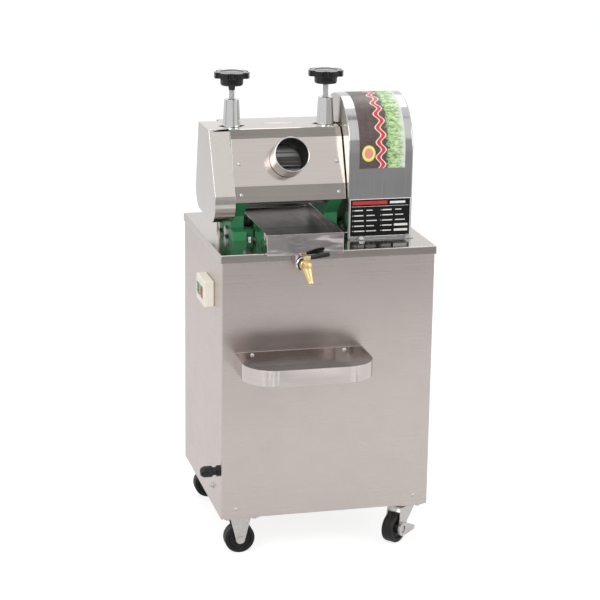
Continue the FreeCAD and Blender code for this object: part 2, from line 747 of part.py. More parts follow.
def make_switch():
    """Switch box on the left side with two push buttons in wells."""
    y = s.cabinet_y - s.switch_ahead
    z = floor + s.switch_level
    case = body_of("switch_box")
    pad(case, draw(sketch_on(case, "switch_outline"), [
        (-s.switch_length / 2, 0), (s.switch_length / 2, 0),
        (s.switch_length / 2, s.switch_height), (-s.switch_length / 2, s.switch_height),
    ]), s.switch_out)
    wells = sketch_on(case, "button_wells")
    middle = s.switch_height / 2
    for side in (-1, 1):
        centre = (s.button_length + s.button_bridge) * side / 2
        half = s.button_length / 2
        draw(wells, [
            (centre - half, middle - s.button_height / 2),
            (centre + half, middle - s.button_height / 2),
            (centre + half, middle + s.button_height / 2),
            (centre - half, middle + s.button_height / 2),
        ])
    pocket(case, wells, s.button_well)
    case.Tip.Reversed = True
    piece("switch_box", put(case, (left - s.switch_out, y, z), SIDE))

    for node, side in (("stop_button", -1), ("start_button", 1)):
        centre = y + (s.button_length + s.button_bridge) * side / 2
        low = (left - s.switch_out + s.button_sunk,
               centre - s.button_length / 2 + s.gap,
               z + middle - s.button_height / 2 + s.gap)
        piece(node, box(node, low, (s.button_thick, s.button_length - 2 * s.gap,
                                    s.button_height - 2 * s.gap)))


def make_gland():
    """Cable gland and earth screw low on the left side."""
    y = s.cabinet_y - s.gland_ahead
    z = floor + s.gland_level
    thread_end = s.gland_reach - s.gland_nut
    sleeve = turned("gland_sleeve", [
        (0, s.gland_bore), (0, s.gland_thread), (-thread_end, s.gland_thread),
        (-s.gland_reach, s.gland_tip), (-s.gland_reach, s.gland_bore),
    ], (left, y, z))
    flange = cut("gland_flange",
                 hexagon("gland_hex", (left - s.gland_nut, y, z), s.gland_flats, s.gland_nut, "X"),
                 rod("gland_hex_hole", (left - s.gland_nut, y, z), s.gland_thread, s.gland_nut, "X"))
    cap_start = left - thread_end
    cap = cut("gland_cap",
              hexagon("cap_hex", (cap_start, y, z), s.gland_flats, s.gland_nut * 1.4, "X"),
              rod("cap_hole", (cap_start, y, z), s.gland_thread, s.gland_nut * 1.4, "X"))
    piece("cable_gland", group("cable_gland", sleeve, flange, cap))

    y = s.cabinet_y - s.earth_ahead
    z = floor + s.earth_level
    washer = rod("earth_washer", (left - s.sheet, y, z), s.earth_radius * 1.4, s.sheet, "X")
    stud = rod("earth_stud", (left - s.earth_out, y, z), s.earth_radius / 2, s.earth_out, "X")
    nut = hexagon("earth_nut", (left - s.earth_out * 0.7, y, z), s.earth_radius * 2,
                  s.earth_out * 0.5, "X")
    piece("earth_terminal", fuse("earth_terminal", washer, stud, nut))


# ------------------------------------------------------------------ head frames

def frame_outline():
    """One cast frame seen from the side: its front edge carries the hood's plates."""
    return [
        (-s.foot_reach, 0), (-s.foot_reach, s.foot_height),
        (-s.waist_reach, s.foot_height + s.waist_step), (-s.waist_reach, s.waist_height),
        (-s.lip_reach, lip_height), (-s.plate_reach, plate_height),
        (-s.strip_reach, strip_height), (-s.top_reach, s.frame_height),
        (s.hood_rear, s.frame_height), (s.hood_rear, plate_height),
        (s.lip_reach, lip_height), (s.waist_reach, s.waist_height),
        (s.waist_reach, s.foot_height + s.waist_step), (s.foot_reach, s.foot_height),
        (s.foot_reach, 0),
    ]


def frame_casting(node, inner, side):
    """A cast side frame with bearing window, bush bores and slotted feet."""
    web = body_of(node + "_web")
    outline = draw(sketch_on(web, node + "_outline"), frame_outline())
    for spot in (-1, 1):
        ring(outline, s.lower_spread * spot, lower_height, s.bush_radius)
        ring(outline, s.tie_spread * spot, s.tie_height, s.tie_radius)
    ring(outline, s.top_tie_y, top_tie_height, s.tie_radius)
    pad(web, outline, s.frame_thick)
    half = s.block_width / 2 + s.gap
    low = top_roller_height - s.block_below - s.gap
    pocket(web, draw(sketch_on(web, node + "_window"), [
        (-half, low), (half, low), (half, window_top), (-half, window_top)]))
    bridge = s.frame_height - window_top
    pocket(web, ring(sketch_on(web, node + "_screw_hole", bridge / 2 - s.frame_height, "XZ_Plane"),
                     0, s.frame_thick / 2, s.screw_radius + s.gap), bridge * 1.2, both_ways=True)
    start = head_x + (inner if side > 0 else inner - s.frame_thick)
    put(web, (start, head_y, lid), SIDE)
    parts = [web]
    for end in (-1, 1):
        toe_y = head_y + s.foot_reach * end - (s.toe_length if end > 0 else 0)
        toe_x = head_x + (inner - s.toe_width if side > 0 else inner)
        toe = box(f"{node}_toe_{end + 1}", (toe_x, toe_y, lid),
                  (s.toe_width, s.toe_length, s.foot_height))
        slot_x = head_x + (inner - s.toe_slot_in - s.toe_slot if side > 0
                           else inner + s.toe_slot_in)
        slot_y = head_y + s.foot_reach * end - (s.toe_length / 2 if end > 0 else s.gap)
        slot = box(f"{node}_slot_{end + 1}", (slot_x, slot_y, lid - s.gap),
                   (s.toe_slot, s.toe_length / 2 + s.gap, s.foot_height + 2 * s.gap))
        parts.append(cut(f"{node}_slotted_toe_{end + 1}", toe, slot))
    return piece(node, fuse(node, *parts))


def make_frames():
    """Both castings, their tie rods, bushes, turner plate and bearing blocks."""
    frame_casting("left_frame", -half_gap, -1)
    frame_casting("right_frame", half_gap, 1)

    rods = []
    spots = [(-s.tie_spread, s.tie_height), (s.tie_spread, s.tie_height),
             (s.top_tie_y, top_tie_height)]
    for i, (y, z) in enumerate(spots):
        at_y = head_y + y
        at_z = lid + z
        shank = rod(f"tie_{i}", (head_x - frame_out, at_y, at_z), s.tie_radius, frame_out * 2, "X")
        nuts = [hexagon(f"tie_nut_{i}_{end}", (head_x + start, at_y, at_z), s.tie_nut_radius * 2,
                        s.tie_nut, "X")
                for end, start in ((0, -frame_out - s.tie_nut), (1, frame_out))]
        rods.append(fuse(f"tie_rod_{i}", shank, *nuts))
    piece("tie_rods", group("tie_rods", *rods))

    bushes = []
    for i, (x, y) in enumerate([(x, y) for x in (-frame_out, half_gap) for y in (-1, 1)]):
        at = (head_x + x, head_y + s.lower_spread * y, lower_z)
        bushes.append(cut(f"bush_{i}", rod(f"bush_body_{i}", at, s.bush_radius, s.frame_thick, "X"),
                          rod(f"bush_bore_{i}", at, s.journal_radius + s.run, s.frame_thick, "X")))
    piece("roller_bushes", group("roller_bushes", *bushes))

    piece("turner_plate", plate("turner_plate", [
        (-s.turner_half, turner_top), (s.turner_half, turner_top),
        (s.turner_waist, lower_height), (s.turner_root, turner_base + s.turner_foot),
        (s.turner_root, turner_base), (-s.turner_root, turner_base),
        (-s.turner_root, turner_base + s.turner_foot), (-s.turner_waist, lower_height),
    ], s.frame_spacing, (head_x - half_gap, head_y, lid)))

    blocks = []
    for name, x in (("left", -frame_out), ("right", half_gap)):
        block = body_of(name + "_block")
        half = s.block_width / 2
        high = s.block_height - s.block_below
        chamfer = s.block_width / 8
        pad(block, ring(draw(sketch_on(block, name + "_block_outline"), [
            (-half, -s.block_below), (half, -s.block_below), (half, high - chamfer),
            (half - chamfer, high), (chamfer - half, high), (-half, high - chamfer)]),
            0, 0, s.journal_radius + s.run), s.frame_thick)
        pocket(block, ring(sketch_on(block, name + "_screw_seat", -high, "XZ_Plane"),
                           0, s.frame_thick / 2, s.screw_radius + s.run), s.screw_seat, True)
        blocks.append(put(block, (head_x + x, head_y, top_z), SIDE))
    piece("bearing_blocks", group("bearing_blocks", *blocks))


# ------------------------------------------------------------------ gears and rollers

PRESSURE_ANGLE = math.radians(20)


def gap_half_widths(teeth):
    """Half widths of an involute tooth gap, per module: (radius, half width) from root to tip."""
    base = teeth / 2 * math.cos(PRESSURE_ANGLE)
    inner = teeth / 2 - 1.25

    def half_angle(radius):
        slope = math.acos(min(base / radius, 1))
        thinner = math.tan(slope) - slope - (math.tan(PRESSURE_ANGLE) - PRESSURE_ANGLE)
        return math.pi / teeth - math.pi / (2 * teeth) + thinner

    radii = [max(inner, base), teeth / 2 - 0.4, teeth / 2, teeth / 2 + 0.5, teeth / 2 + 1]
    steps = [(inner, inner * math.sin(half_angle(radii[0])))]
    steps += [(r * math.cos(half_angle(r)), r * math.sin(half_angle(r))) for r in radii[1:]]
    return steps


def cut_teeth(body, name, module, teeth, turn, width):
    """Cuts a ring of teeth into a body; turn is the angle of one gap from local X, in degrees."""
    steps = [(module * x, module * y + s.flank_play)
             for x, y in gap_half_widths(int(teeth.value))]
    beyond = (steps[-1][0] + module, steps[-1][1] + module / 2)
    right_side = steps + [beyond]
    left_side = [(x, -y) for x, y in reversed(right_side)]
    sketch = draw(sketch_on(body, name + "_tooth_gap"), left_side + right_side)
    sketch.AttachmentOffset = FreeCAD.Placement(Vector(), FreeCAD.Rotation(Vector(0, 0, 1), turn))
    gap_cut = pocket(body, sketch, width, both_ways=True)
    repeat_round(body, gap_cut, teeth)


def gear(node, module, teeth, turn, bore, width, at, hub=None):
    """A spur gear about X, its first face at the given place."""
    body = body_of(node)
    outer = module * (teeth / 2 + 1)
    pad(body, ring(sketch_on(body, node + "_blank"), 0, 0, outer), width)
    cut_teeth(body, node, module, teeth, turn, width * 3)
    if hub is not None:
        rim = module * (teeth / 2 - 1.25) - 3 * module
        pocket(body, ring(ring(sketch_on(body, node + "_web", width), 0, 0, rim), 0, 0, hub),
               width / 3)
        holes = pocket(body, ring(sketch_on(body, node + "_hole"), (rim + hub) / 2, 0,
                                  (rim - hub) / 4))
        repeat_round(body, holes, size_of(6))
    pocket(body, ring(sketch_on(body, node + "_bore"), 0, 0, bore))
    return piece(node, put(body, at, SIDE))


def meshed_turn(first_turn, first_teeth, second_teeth, line):
    """The second gear's gap angle that meshes with the first's, along the line of centres."""
    pitch = 360 / second_teeth
    tooth = line + 180 + (line - (first_turn + 180 / first_teeth)) * first_teeth / second_teeth
    return tooth + pitch / 2 + pitch / 2


def roller(node, y, z, right_end, left_end):
    """A fluted roller with its journals, in one piece."""
    body = body_of(node)
    pad(body, ring(sketch_on(body, node + "_barrel"), 0, 0, s.roller_radius),
        s.roller_length, both_ways=True)
    flute = draw(sketch_on(body, node + "_flute"), [
        (s.roller_radius - s.flute_depth, 0), (s.roller_radius + 1, s.flute_half),
        (s.roller_radius + 1, -s.flute_half)])
    repeat_round(body, pocket(body, flute), s.flute_count)
    pad(body, ring(sketch_on(body, node + "_journals", -left_end), 0, 0, s.journal_radius),
        left_end + right_end)
    return piece(node, put(body, (head_x, y, z), SIDE))


def make_rollers():
    """Three rollers, their equal gears and the driven gear."""
    gear_start = -frame_out - s.gear_standoff - s.roller_gear_width
    gear_end = -gear_start
    main_start = s.arch_left + s.sheet + s.gear_standoff
    roller("top_roller", head_y, top_z, main_start + s.gear_width + s.gear_standoff, gear_end)
    teeth = int(s.roller_teeth.value)
    gear("top_roller_gear", s.roller_module, s.roller_teeth, 0, s.journal_radius,
         s.roller_gear_width, (head_x + gear_start, head_y, top_z))
    gear("main_gear", s.drive_module, s.gear_teeth, 0, s.journal_radius, s.gear_width,
         (head_x + main_start, head_y, top_z), hub=s.journal_radius * 1.8)
    for name, side in (("front", -1), ("rear", 1)):
        y = head_y + s.lower_spread * side
        roller(name + "_roller", y, lower_z, frame_out + s.gear_standoff, gear_end)
        line = math.degrees(math.atan2(-lower_drop.value, s.lower_spread.value * side))
        gear(name + "_roller_gear", s.roller_module, s.roller_teeth,
             meshed_turn(0, teeth, teeth, line), s.journal_radius, s.roller_gear_width,
             (head_x + gear_start, y, lower_z))


# ------------------------------------------------------------------ pressure screws

def make_pressure_screws():
    """Screws that lift the top roller, their tapered nuts and star knobs."""
    sleeves = []
    seat = top_z + s.block_height - s.block_below - s.screw_seat / 2
    knob_top = lid + knob_height
    hub_low = knob_top - s.knob_disc - s.knob_hub
    for name, side in (("left", -1), ("right", 1)):
        x = head_x + (half_gap + s.frame_thick / 2) * side
        base = lid + s.frame_height
        sleeves.append(cut(name + "_sleeve",
                           taper(name + "_sleeve_body", (x, head_y, base), s.sleeve_foot,
                                 s.sleeve_top, s.sleeve_height),
                           rod(name + "_sleeve_bore", (x, head_y, base),
                               s.screw_radius + 2 * s.run, s.sleeve_height)))
        piece(name + "_pressure_screw", rod(name + "_pressure_screw", (x, head_y, seat),
                                            s.screw_radius, hub_low + s.knob_hub - seat))
        knob = body_of(name + "_knob")
        pad(knob, ring(sketch_on(knob, name + "_knob_disc"), 0, 0, s.knob_radius), s.knob_disc)
        notch = pocket(knob, ring(sketch_on(knob, name + "_knob_notch"),
                                  s.knob_notch_centre, 0, s.knob_notch_radius))
        repeat_round(knob, notch, s.knob_lobes)
        pad(knob, ring(sketch_on(knob, name + "_knob_hub", -s.knob_hub), 0, 0,
                       s.knob_hub_radius), s.knob_hub)
        pocket(knob, ring(sketch_on(knob, name + "_knob_bore"), 0, 0, s.screw_radius),
               s.knob_hub * 2, both_ways=True)
        piece(name + "_star_knob", put(knob, (x, head_y, knob_top - s.knob_disc)))
    piece("screw_sleeves", group("screw_sleeves", *sleeves))


# ------------------------------------------------------------------ hood and covers

def sleeve_diamond(name, side):
    """Cutter for the diamond-shaped opening in the sheet round one screw sleeve."""
    reach = s.sleeve_opening
    x = head_x + (half_gap + s.frame_thick / 2) * side
    low = (x, head_y - reach, lid + s.frame_height - s.sheet)
    item = box(f"{name}_diamond_{side + 1}", low, (reach * math.sqrt(2), reach * math.sqrt(2),
                                                   3 * s.sheet))
    return put(item, low, FreeCAD.Rotation(Vector(0, 0, 1), 45))


def make_hood():
    """Top cover, front cover and the feed tube through it."""
    start = head_x - s.hood_left
    width = s.hood_left + s.hood_right
    roof = folded("hood_roof", [
        (-s.strip_reach, strip_height), (-s.top_reach, s.frame_height),
        (s.hood_rear, s.frame_height), (s.hood_rear, s.frame_height - s.hood_drop),
    ], -s.sheet, width, (start, head_y, lid))
    piece("top_cover", cut("top_cover", roof, sleeve_diamond("hood", -1), sleeve_diamond("hood", 1)))

    mouth = place_on_plate(feed_height)
    tilt = FreeCAD.Rotation(Vector(1, 0, 0), 90 - s.feed_tilt.value)
    x = head_x + s.feed_shift
    total = s.feed_in + s.feed_out
    inner_y = mouth + s.feed_in * cosine(s.feed_tilt)
    inner_z = lid + feed_height - s.feed_in * sine(s.feed_tilt)
    outside = put(rod("feed_outside", (x, 0, 0), s.feed_radius, total), (x, inner_y, inner_z), tilt)
    hollow = put(rod("feed_hollow", (x, 0, 0), s.feed_radius - s.feed_wall, total),
                 (x, inner_y, inner_z), tilt)
    piece("feed_tube", cut("feed_tube", outside, hollow))

    slope = folded("front_slope", [
        (-s.lip_reach, lip_height), (-s.plate_reach, plate_height),
        (-s.strip_reach, strip_height),
    ], -s.sheet, width, (start, head_y, lid))
    bore = put(rod("feed_hole", (x, 0, 0), s.feed_radius, total), (x, inner_y, inner_z), tilt)
    piece("front_cover", cut("front_cover", slope, bore))


def place_on_plate(height):
    """The Y of the front cover's inner face at a height above the lid."""
    share = (height - plate_height) / (strip_height - plate_height)
    return head_y - s.plate_reach + (s.plate_reach - s.strip_reach) * share


def gear_cover_line():
    """The left gear cover from the side, from its front lower edge over the top to the rear."""
    low = lower_height - s.cover_below
    return [
        (-s.cover_front_low, low),
        (-s.cover_belly, lower_height - s.cover_belly_drop, s.cover_curve),
        (-s.cover_top_front, s.frame_height),
        (s.cover_top_rear, s.frame_height),
        (s.cover_rear, lower_height - s.cover_rear_drop),
        (s.cover_rear_low, low, s.cover_curve),
    ]


def make_gear_cover():
    """Open-bottomed cover over the three roller gears."""
    start = head_x - frame_out - s.cover_width
    wall = folded("gear_cover_wall", gear_cover_line(), s.sheet, s.cover_width,
                  (start, head_y, lid))
    cheek = plate("gear_cover_cheek", gear_cover_line(), s.sheet, (start, head_y, lid))
    tabs = []
    for name, tab_y in (("front", -s.cover_belly), ("rear", s.cover_rear - s.cover_tab - s.gap * 12)):
        tabs.append(box(f"gear_cover_{name}_tab", (
            head_x - frame_out - s.sheet, head_y + tab_y, lid + lip_height),
            (s.sheet, s.cover_tab, s.cover_tab)))
    seam = box("gear_cover_seam", (start + 2 * s.sheet, head_y - s.cover_top_front - 2 * s.sheet,
                                   lid + s.frame_height - s.sheet),
               (s.cover_width - 4 * s.sheet, 2 * s.sheet, s.sheet * 1.5))
    piece("left_gear_cover", cut("left_gear_cover", fuse("gear_cover_solid", wall, cheek, *tabs),
                                 sleeve_diamond("gear_cover", -1), seam))


def arch_line(low, foot):
    """The drive cover's arch; a foot makes the flange that lies on the lid."""
    r = s.arch_radius
    line = [(-r, low), (-r, arch_spring), (0, arch_spring + r, r),
            (r, arch_spring, r), (r, low)]
    if foot:
        line = [(-r - s.arch_flange, low)] + line + [(r + s.arch_flange, low)]
    return line


def make_drive_cover():
    """Arched cover over the driven gear, countershaft and belt."""
    start = head_x + s.arch_left
    wall = folded("arch_wall", arch_line(s.sheet, True), s.sheet, s.arch_width,
                  (start, head_y, lid))
    inner = plate("arch_inner_side", arch_line(size_of(0), False), s.sheet,
                  (start, head_y, lid), holes=[(0, top_roller_height, s.arch_shaft_hole)])
    outer = plate("arch_outer_side", arch_line(size_of(0), False), s.sheet,
                  (start + s.arch_width - s.sheet, head_y, lid))
    piece("drive_cover", fuse("drive_cover", wall, inner, outer))


def make_chute():
    """Chute that carries the crushed cane out at the back, between the frames."""
    tilt = FreeCAD.Rotation(Vector(1, 0, 0), -s.chute_fall.value)
    at = (head_x - half_gap, head_y + s.chute_y, lid + chute_height)
    outside = put(box("chute_outside", at, (s.frame_spacing, s.chute_length, s.chute_wall)),
                  at, tilt)
    hollow_span = (s.frame_spacing - 2 * s.sheet, s.chute_length * 2, s.chute_wall * 2)
    back_off = s.chute_length / 2
    hollow_at = (head_x - half_gap + s.sheet,
                 head_y + s.chute_y - back_off * cosine(s.chute_fall)
                 + s.sheet * sine(s.chute_fall),
                 lid + chute_height + back_off * sine(s.chute_fall)
                 + s.sheet * cosine(s.chute_fall))
    hollow = put(box("chute_inside", hollow_at, hollow_span), hollow_at, tilt)
    piece("discharge_chute", cut("discharge_chute", outside, hollow))


# ------------------------------------------------------------------ countershaft and motor

def make_countershaft():
    """Pinion shaft in two pillow blocks, with the belt pulley between them."""
    body = body_of("pinion_shaft")
    pinion_start = s.arch_left + s.sheet + s.gear_standoff / 2
    outer = s.drive_module * (s.pinion_teeth / 2 + 1)
    pad(body, ring(sketch_on(body, "pinion_blank"), 0, 0, outer), s.pinion_width)
    turn = meshed_turn(0, int(s.gear_teeth.value), int(s.pinion_teeth.value), -90)
    cut_teeth(body, "pinion", s.drive_module, s.pinion_teeth, turn, s.pinion_width * 3)
    pad(body, ring(sketch_on(body, "counter_shaft_round", s.pinion_width), 0, 0,
                   s.counter_radius), s.counter_end - pinion_start - s.pinion_width)
    piece("pinion_shaft", put(body, (head_x + pinion_start, head_y, counter_z), SIDE))

    blocks = []
    for i, x in enumerate((s.block_a, s.block_b)):
        half = s.pillow_base / 2
        r = s.pillow_round
        blocks.append(plate(f"pillow_{i}", [
            (-half, 0), (-half, s.pillow_foot), (-r, s.pillow_foot), (-r, counter_height),
            (0, counter_height + r, r), (r, counter_height, r), (r, s.pillow_foot),
            (half, s.pillow_foot), (half, 0),
        ], s.pillow_thick, (head_x + x, head_y, lid),
            holes=[(0, counter_height, s.counter_radius + s.run)]))
    piece("pillow_blocks", group("pillow_blocks", *blocks))

    pulley("driven_pulley", s.big_pitch, s.counter_radius, counter_z)
    pulley("motor_pulley", s.small_pitch, s.motor_shaft, motor_z)
    make_belt()


def pulley(node, pitch, bore, z):
    """A grooved pulley about X; a large one has a thin web between rim and hub."""
    half = s.pulley_width / 2
    outer = pitch + s.pulley_rim
    groove = pitch - s.belt_thick / 2 - s.gap
    groove_half = s.belt_width / 2 + s.gap
    profile = [(-half, bore), (-half, outer), (-groove_half, outer), (-groove_half, groove),
               (groove_half, groove), (groove_half, outer), (half, outer), (half, bore)]
    if pitch.value > s.pulley_hub.value * 2:
        rim = groove - s.rim_thick
        web = s.pulley_web / 2
        profile = ([(-half, bore), (-half, s.pulley_hub), (-web, s.pulley_hub), (-web, rim),
                    (-half, rim)] + profile[1:7]
                   + [(half, rim), (web, rim), (web, s.pulley_hub), (half, s.pulley_hub),
                      (half, bore)])
    piece(node, turned(node, profile, (head_x + s.pulley_x, head_y, z)))


def belt_outline(inset):
    """The belt's outside or inside line round both pulleys, about the driven pulley's axis."""
    span = counter_height + s.cabinet_height + s.sheet - s.motor_height
    lean = (s.big_pitch - s.small_pitch) / span
    across = root(1 - lean * lean)
    big = s.big_pitch + s.belt_thick / 2 - inset
    small = s.small_pitch + s.belt_thick / 2 - inset
    return [
        (-(small * across), -span - small * lean, small), (-(big * across), -(big * lean)),
        (0, big, big), (big * across, -(big * lean), big),
        (small * across, -span - small * lean), (0, -span - small, small),
    ]


def make_belt():
    """The belt: two arcs and the two straight runs tangent to both pulleys."""
    belt = body_of("belt")
    loop = draw(sketch_on(belt, "belt_loop"), belt_outline(size_of(0)))
    draw(loop, belt_outline(s.belt_thick))
    pad(belt, loop, s.belt_width)
    piece("drive_belt", put(belt, (head_x + s.pulley_x - s.belt_width / 2, head_y, counter_z),
                            SIDE))


def make_motor():
    """Finned motor on a folded mount, with its fan cover and terminal box."""
    start = s.cabinet_x + s.motor_end - s.motor_length
    y = s.cabinet_y
    housing = body_of("motor_body")
    pad(housing, ring(sketch_on(housing, "stator"), 0, 0, s.motor_radius), s.motor_length)
    fin_gap = draw(sketch_on(housing, "fin_gap", s.motor_length * 0.85), [
        (s.motor_radius - s.fin_depth, -s.fin_half), (s.motor_radius + s.fin_depth, -s.fin_half),
        (s.motor_radius + s.fin_depth, s.fin_half), (s.motor_radius - s.fin_depth, s.fin_half)])
    fins = pocket(housing, fin_gap, s.motor_length * 0.7)
    repeat_round(housing, fins, s.motor_fins)
    put(housing, (start, y, motor_z), SIDE)
    feet = []
    for side in (-1, 1):
        low_y = y + s.motor_foot_spread * side - s.motor_foot_thick * 2
        feet.append(box(f"motor_foot_{side + 1}", (start + s.motor_length * 0.2, low_y,
                                                   motor_z - s.motor_foot),
                        (s.motor_length * 0.6, s.motor_foot_thick * 4, s.motor_foot_thick)))
        leg_y = y + s.motor_foot_spread * side * 0.8 - s.motor_foot_thick / 2
        feet.append(box(f"motor_leg_{side + 1}", (start + s.motor_length * 0.2, leg_y,
                                                  motor_z - s.motor_foot),
                        (s.motor_length * 0.6, s.motor_foot_thick, s.motor_foot / 2)))
    top_box = box("terminal_box", (start + s.motor_length / 4, y - s.box_width / 2,
                                   motor_z + s.motor_radius - s.fin_depth * 2),
                  (s.box_length, s.box_width, s.box_height + s.fin_depth))
    bored = cut("motor_bored", fuse("motor_solid", housing, top_box, *feet),
                rod("motor_bore", (start + s.motor_length * 0.5, y, motor_z),
                    s.motor_shaft + s.run, s.motor_length, "X"))
    piece("motor_housing", bored)

    cover = cut("fan_cover_cup",
                rod("fan_cover_outside", (start - s.fan_cover, y, motor_z), s.fan_cover_radius,
                    s.fan_cover, "X"),
                rod("fan_cover_inside", (start - s.fan_cover + s.sheet, y, motor_z),
                    s.fan_cover_radius - s.sheet, s.fan_cover, "X"),
                *[rod(f"fan_hole_{i}_{j}", (start - 2 * s.fan_cover,
                                            y + s.fan_cover_radius * (i / 5),
                                            motor_z + s.fan_cover_radius * (j / 5)), 4,
                      2 * s.fan_cover, "X")
                  for i in range(-3, 4) for j in range(-3, 4) if 0 < i * i + j * j < 11])
    piece("motor_fan_cover", cover)

    shaft_start = start + s.motor_length * 0.5 + s.gap
    shaft_end = head_x + s.pulley_x + s.pulley_width / 2 + s.gear_standoff
    piece("motor_shaft", rod("motor_shaft", (shaft_start, y, motor_z), s.motor_shaft,
                             shaft_end - shaft_start, "X"))

    top = s.motor_height - s.motor_foot
    foot = s.base_thick + s.mount_thick
    piece("motor_mount", folded("motor_mount", [
        (-s.mount_half - s.mount_toe, foot), (-s.mount_half, foot), (-s.mount_half, top),
        (s.mount_half, top), (s.mount_half, foot), (s.mount_half + s.mount_toe, foot),
    ], s.mount_thick, s.mount_length,
        (start + s.motor_length / 2 - s.mount_length / 2, y, floor)))


# ------------------------------------------------------------------ juice tray and tap

def make_tray():
    """Juice tray: a pan that falls to the front, skirted down to the lid over the front edge."""
    x = head_x + s.tray_shift - s.tray_width / 2
    inside = s.tray_width - 2 * s.sheet
    fall = (s.tray_floor_rear - s.tray_floor) / (tray_front + s.tray_rear)
    near = -tray_front + s.sheet
    far = s.tray_rear - s.sheet
    low = s.tray_floor + fall * s.sheet
    high = s.tray_floor_rear - fall * s.sheet
    step = s.tray_floor + fall * (tray_front - s.tray_skirt)
    side = plate("tray_side", [
        (-tray_front, s.gap), (-tray_front, s.tray_height), (s.tray_rear, s.tray_height),
        (s.tray_rear, s.tray_floor_rear), (-s.tray_skirt, step), (-s.tray_skirt, s.gap),
    ], s.tray_width, (x, head_y, lid))
    pan_hollow = plate("tray_hollow", [
        (near, low + s.sheet), (near, 2 * s.tray_height), (far, 2 * s.tray_height),
        (far, high + s.sheet),
    ], inside, (x + s.sheet, head_y, lid))
    skirt_hollow = plate("tray_skirt_hollow", [
        (near, 0), (near, low), (-s.tray_skirt + s.sheet, step), (-s.tray_skirt + s.sheet, 0),
    ], inside, (x + s.sheet, head_y, lid))
    outlet_x = head_x + s.tray_shift - s.outlet_shift
    outlet_y = front - s.outlet_ahead
    outlet_z = lid - s.outlet_drop
    drain = rod("tray_drain", (outlet_x, outlet_y, lid), s.outlet_radius - s.feed_wall,
                s.tray_height)
    pan = cut("tray_pan", side, pan_hollow, skirt_hollow, drain)
    lip = plate("tray_lip", [(0, 0), (s.tray_lip, 0), (0, s.tray_lip_length)], s.sheet,
                (x + s.tray_width, head_y - tray_front, lid + s.tray_height - s.sheet), PLAN)

    stub = rod("outlet_stub", (outlet_x, outlet_y, outlet_z - s.outlet_radius), s.outlet_radius,
               s.outlet_drop + s.outlet_radius + s.tray_floor + s.sheet / 2)
    nose = rod("outlet_nose", (0, 0, 0), 0.9 * s.outlet_radius, s.tap_reach, "-Y")
    elbow = fuse("outlet_solid", stub, put(nose, (outlet_x, outlet_y, outlet_z), TAP_TURN * ALONG["-Y"]))
    stub_hole = rod("outlet_hole", (outlet_x, outlet_y, outlet_z),
                    s.outlet_radius - s.feed_wall, s.outlet_drop + s.tray_height)
    nose_hole = put(rod("outlet_nose_hole", (0, 0, 0), s.outlet_radius - 1.5 * s.feed_wall,
                        s.tap_reach + s.gap),
                    (outlet_x, outlet_y, outlet_z), TAP_TURN * ALONG["-Y"])
    outlet = cut("outlet_elbow", elbow, stub_hole, nose_hole)
    piece("juice_tray", fuse("juice_tray", pan, lip, outlet))
    make_tap(outlet_x, outlet_y, outlet_z)


TAP_TURN = FreeCAD.Rotation(Vector(0, 0, 1), s.tap_turn.value)


def make_tap(x, y, z):
    """Collar, valve body and spout; the lever stands on the valve's stem."""
    start = s.tap_reach
    body_start = start + s.collar_length
    middle = body_start + s.tap_body_length / 2
    collar = rod("tap_collar", (0, -start, 0), s.collar_radius, s.collar_length, "-Y")
    barrel = rod("tap_barrel", (0, -body_start, 0), s.tap_body_radius, s.tap_body_length, "-Y")
    stem_seat = rod("tap_stem_seat", (0, -middle, 0), s.stem_radius, s.stem_height)
    spout = taper("tap_spout", (0, 0, 0), s.spout_radius, s.spout_tip, s.spout_length)
    put(spout, (0, -middle, -s.tap_body_radius / 2),
        FreeCAD.Rotation(Vector(1, 0, 0), 180 - s.spout_lean.value))
    bore = put(rod("spout_bore", (0, 0, 0), s.spout_tip - s.feed_wall, s.spout_length * 2),
               (0, -middle, 0), FreeCAD.Rotation(Vector(1, 0, 0), 180 - s.spout_lean.value))
    tap = cut("tap_body", fuse("tap_solid", collar, barrel, stem_seat, spout), bore)
    piece("tap_body", put(tap, (x, y, z), TAP_TURN))

    cap = rod("lever_cap", (0, 0, 0), s.stem_radius, s.lever_radius * 2)
    tilt = FreeCAD.Rotation(Vector(0, 1, 0), 90 - s.lever_lift.value)
    arm = put(rod("lever_arm", (0, 0, 0), s.lever_radius, s.lever_length),
              (0, 0, s.lever_radius), tilt)
    grip_start = s.stem_radius + s.gap
    sleeve = put(rod("lever_sleeve", (0, 0, 0), s.sleeve_radius, s.lever_length - grip_start),
                 (grip_start, 0, s.lever_radius + grip_start * sine(s.lever_lift)), tilt)
    stem_x = x + middle * sine(s.tap_turn)
    stem_y = y - middle * cosine(s.tap_turn)
    piece("tap_lever", put(fuse("tap_lever", cap, arm, sleeve),
                           (stem_x, stem_y, z + s.stem_height + s.gap),
                           FreeCAD.Rotation(Vector(0, 0, 1), s.lever_turn.value)))


# ------------------------------------------------------------------ screws

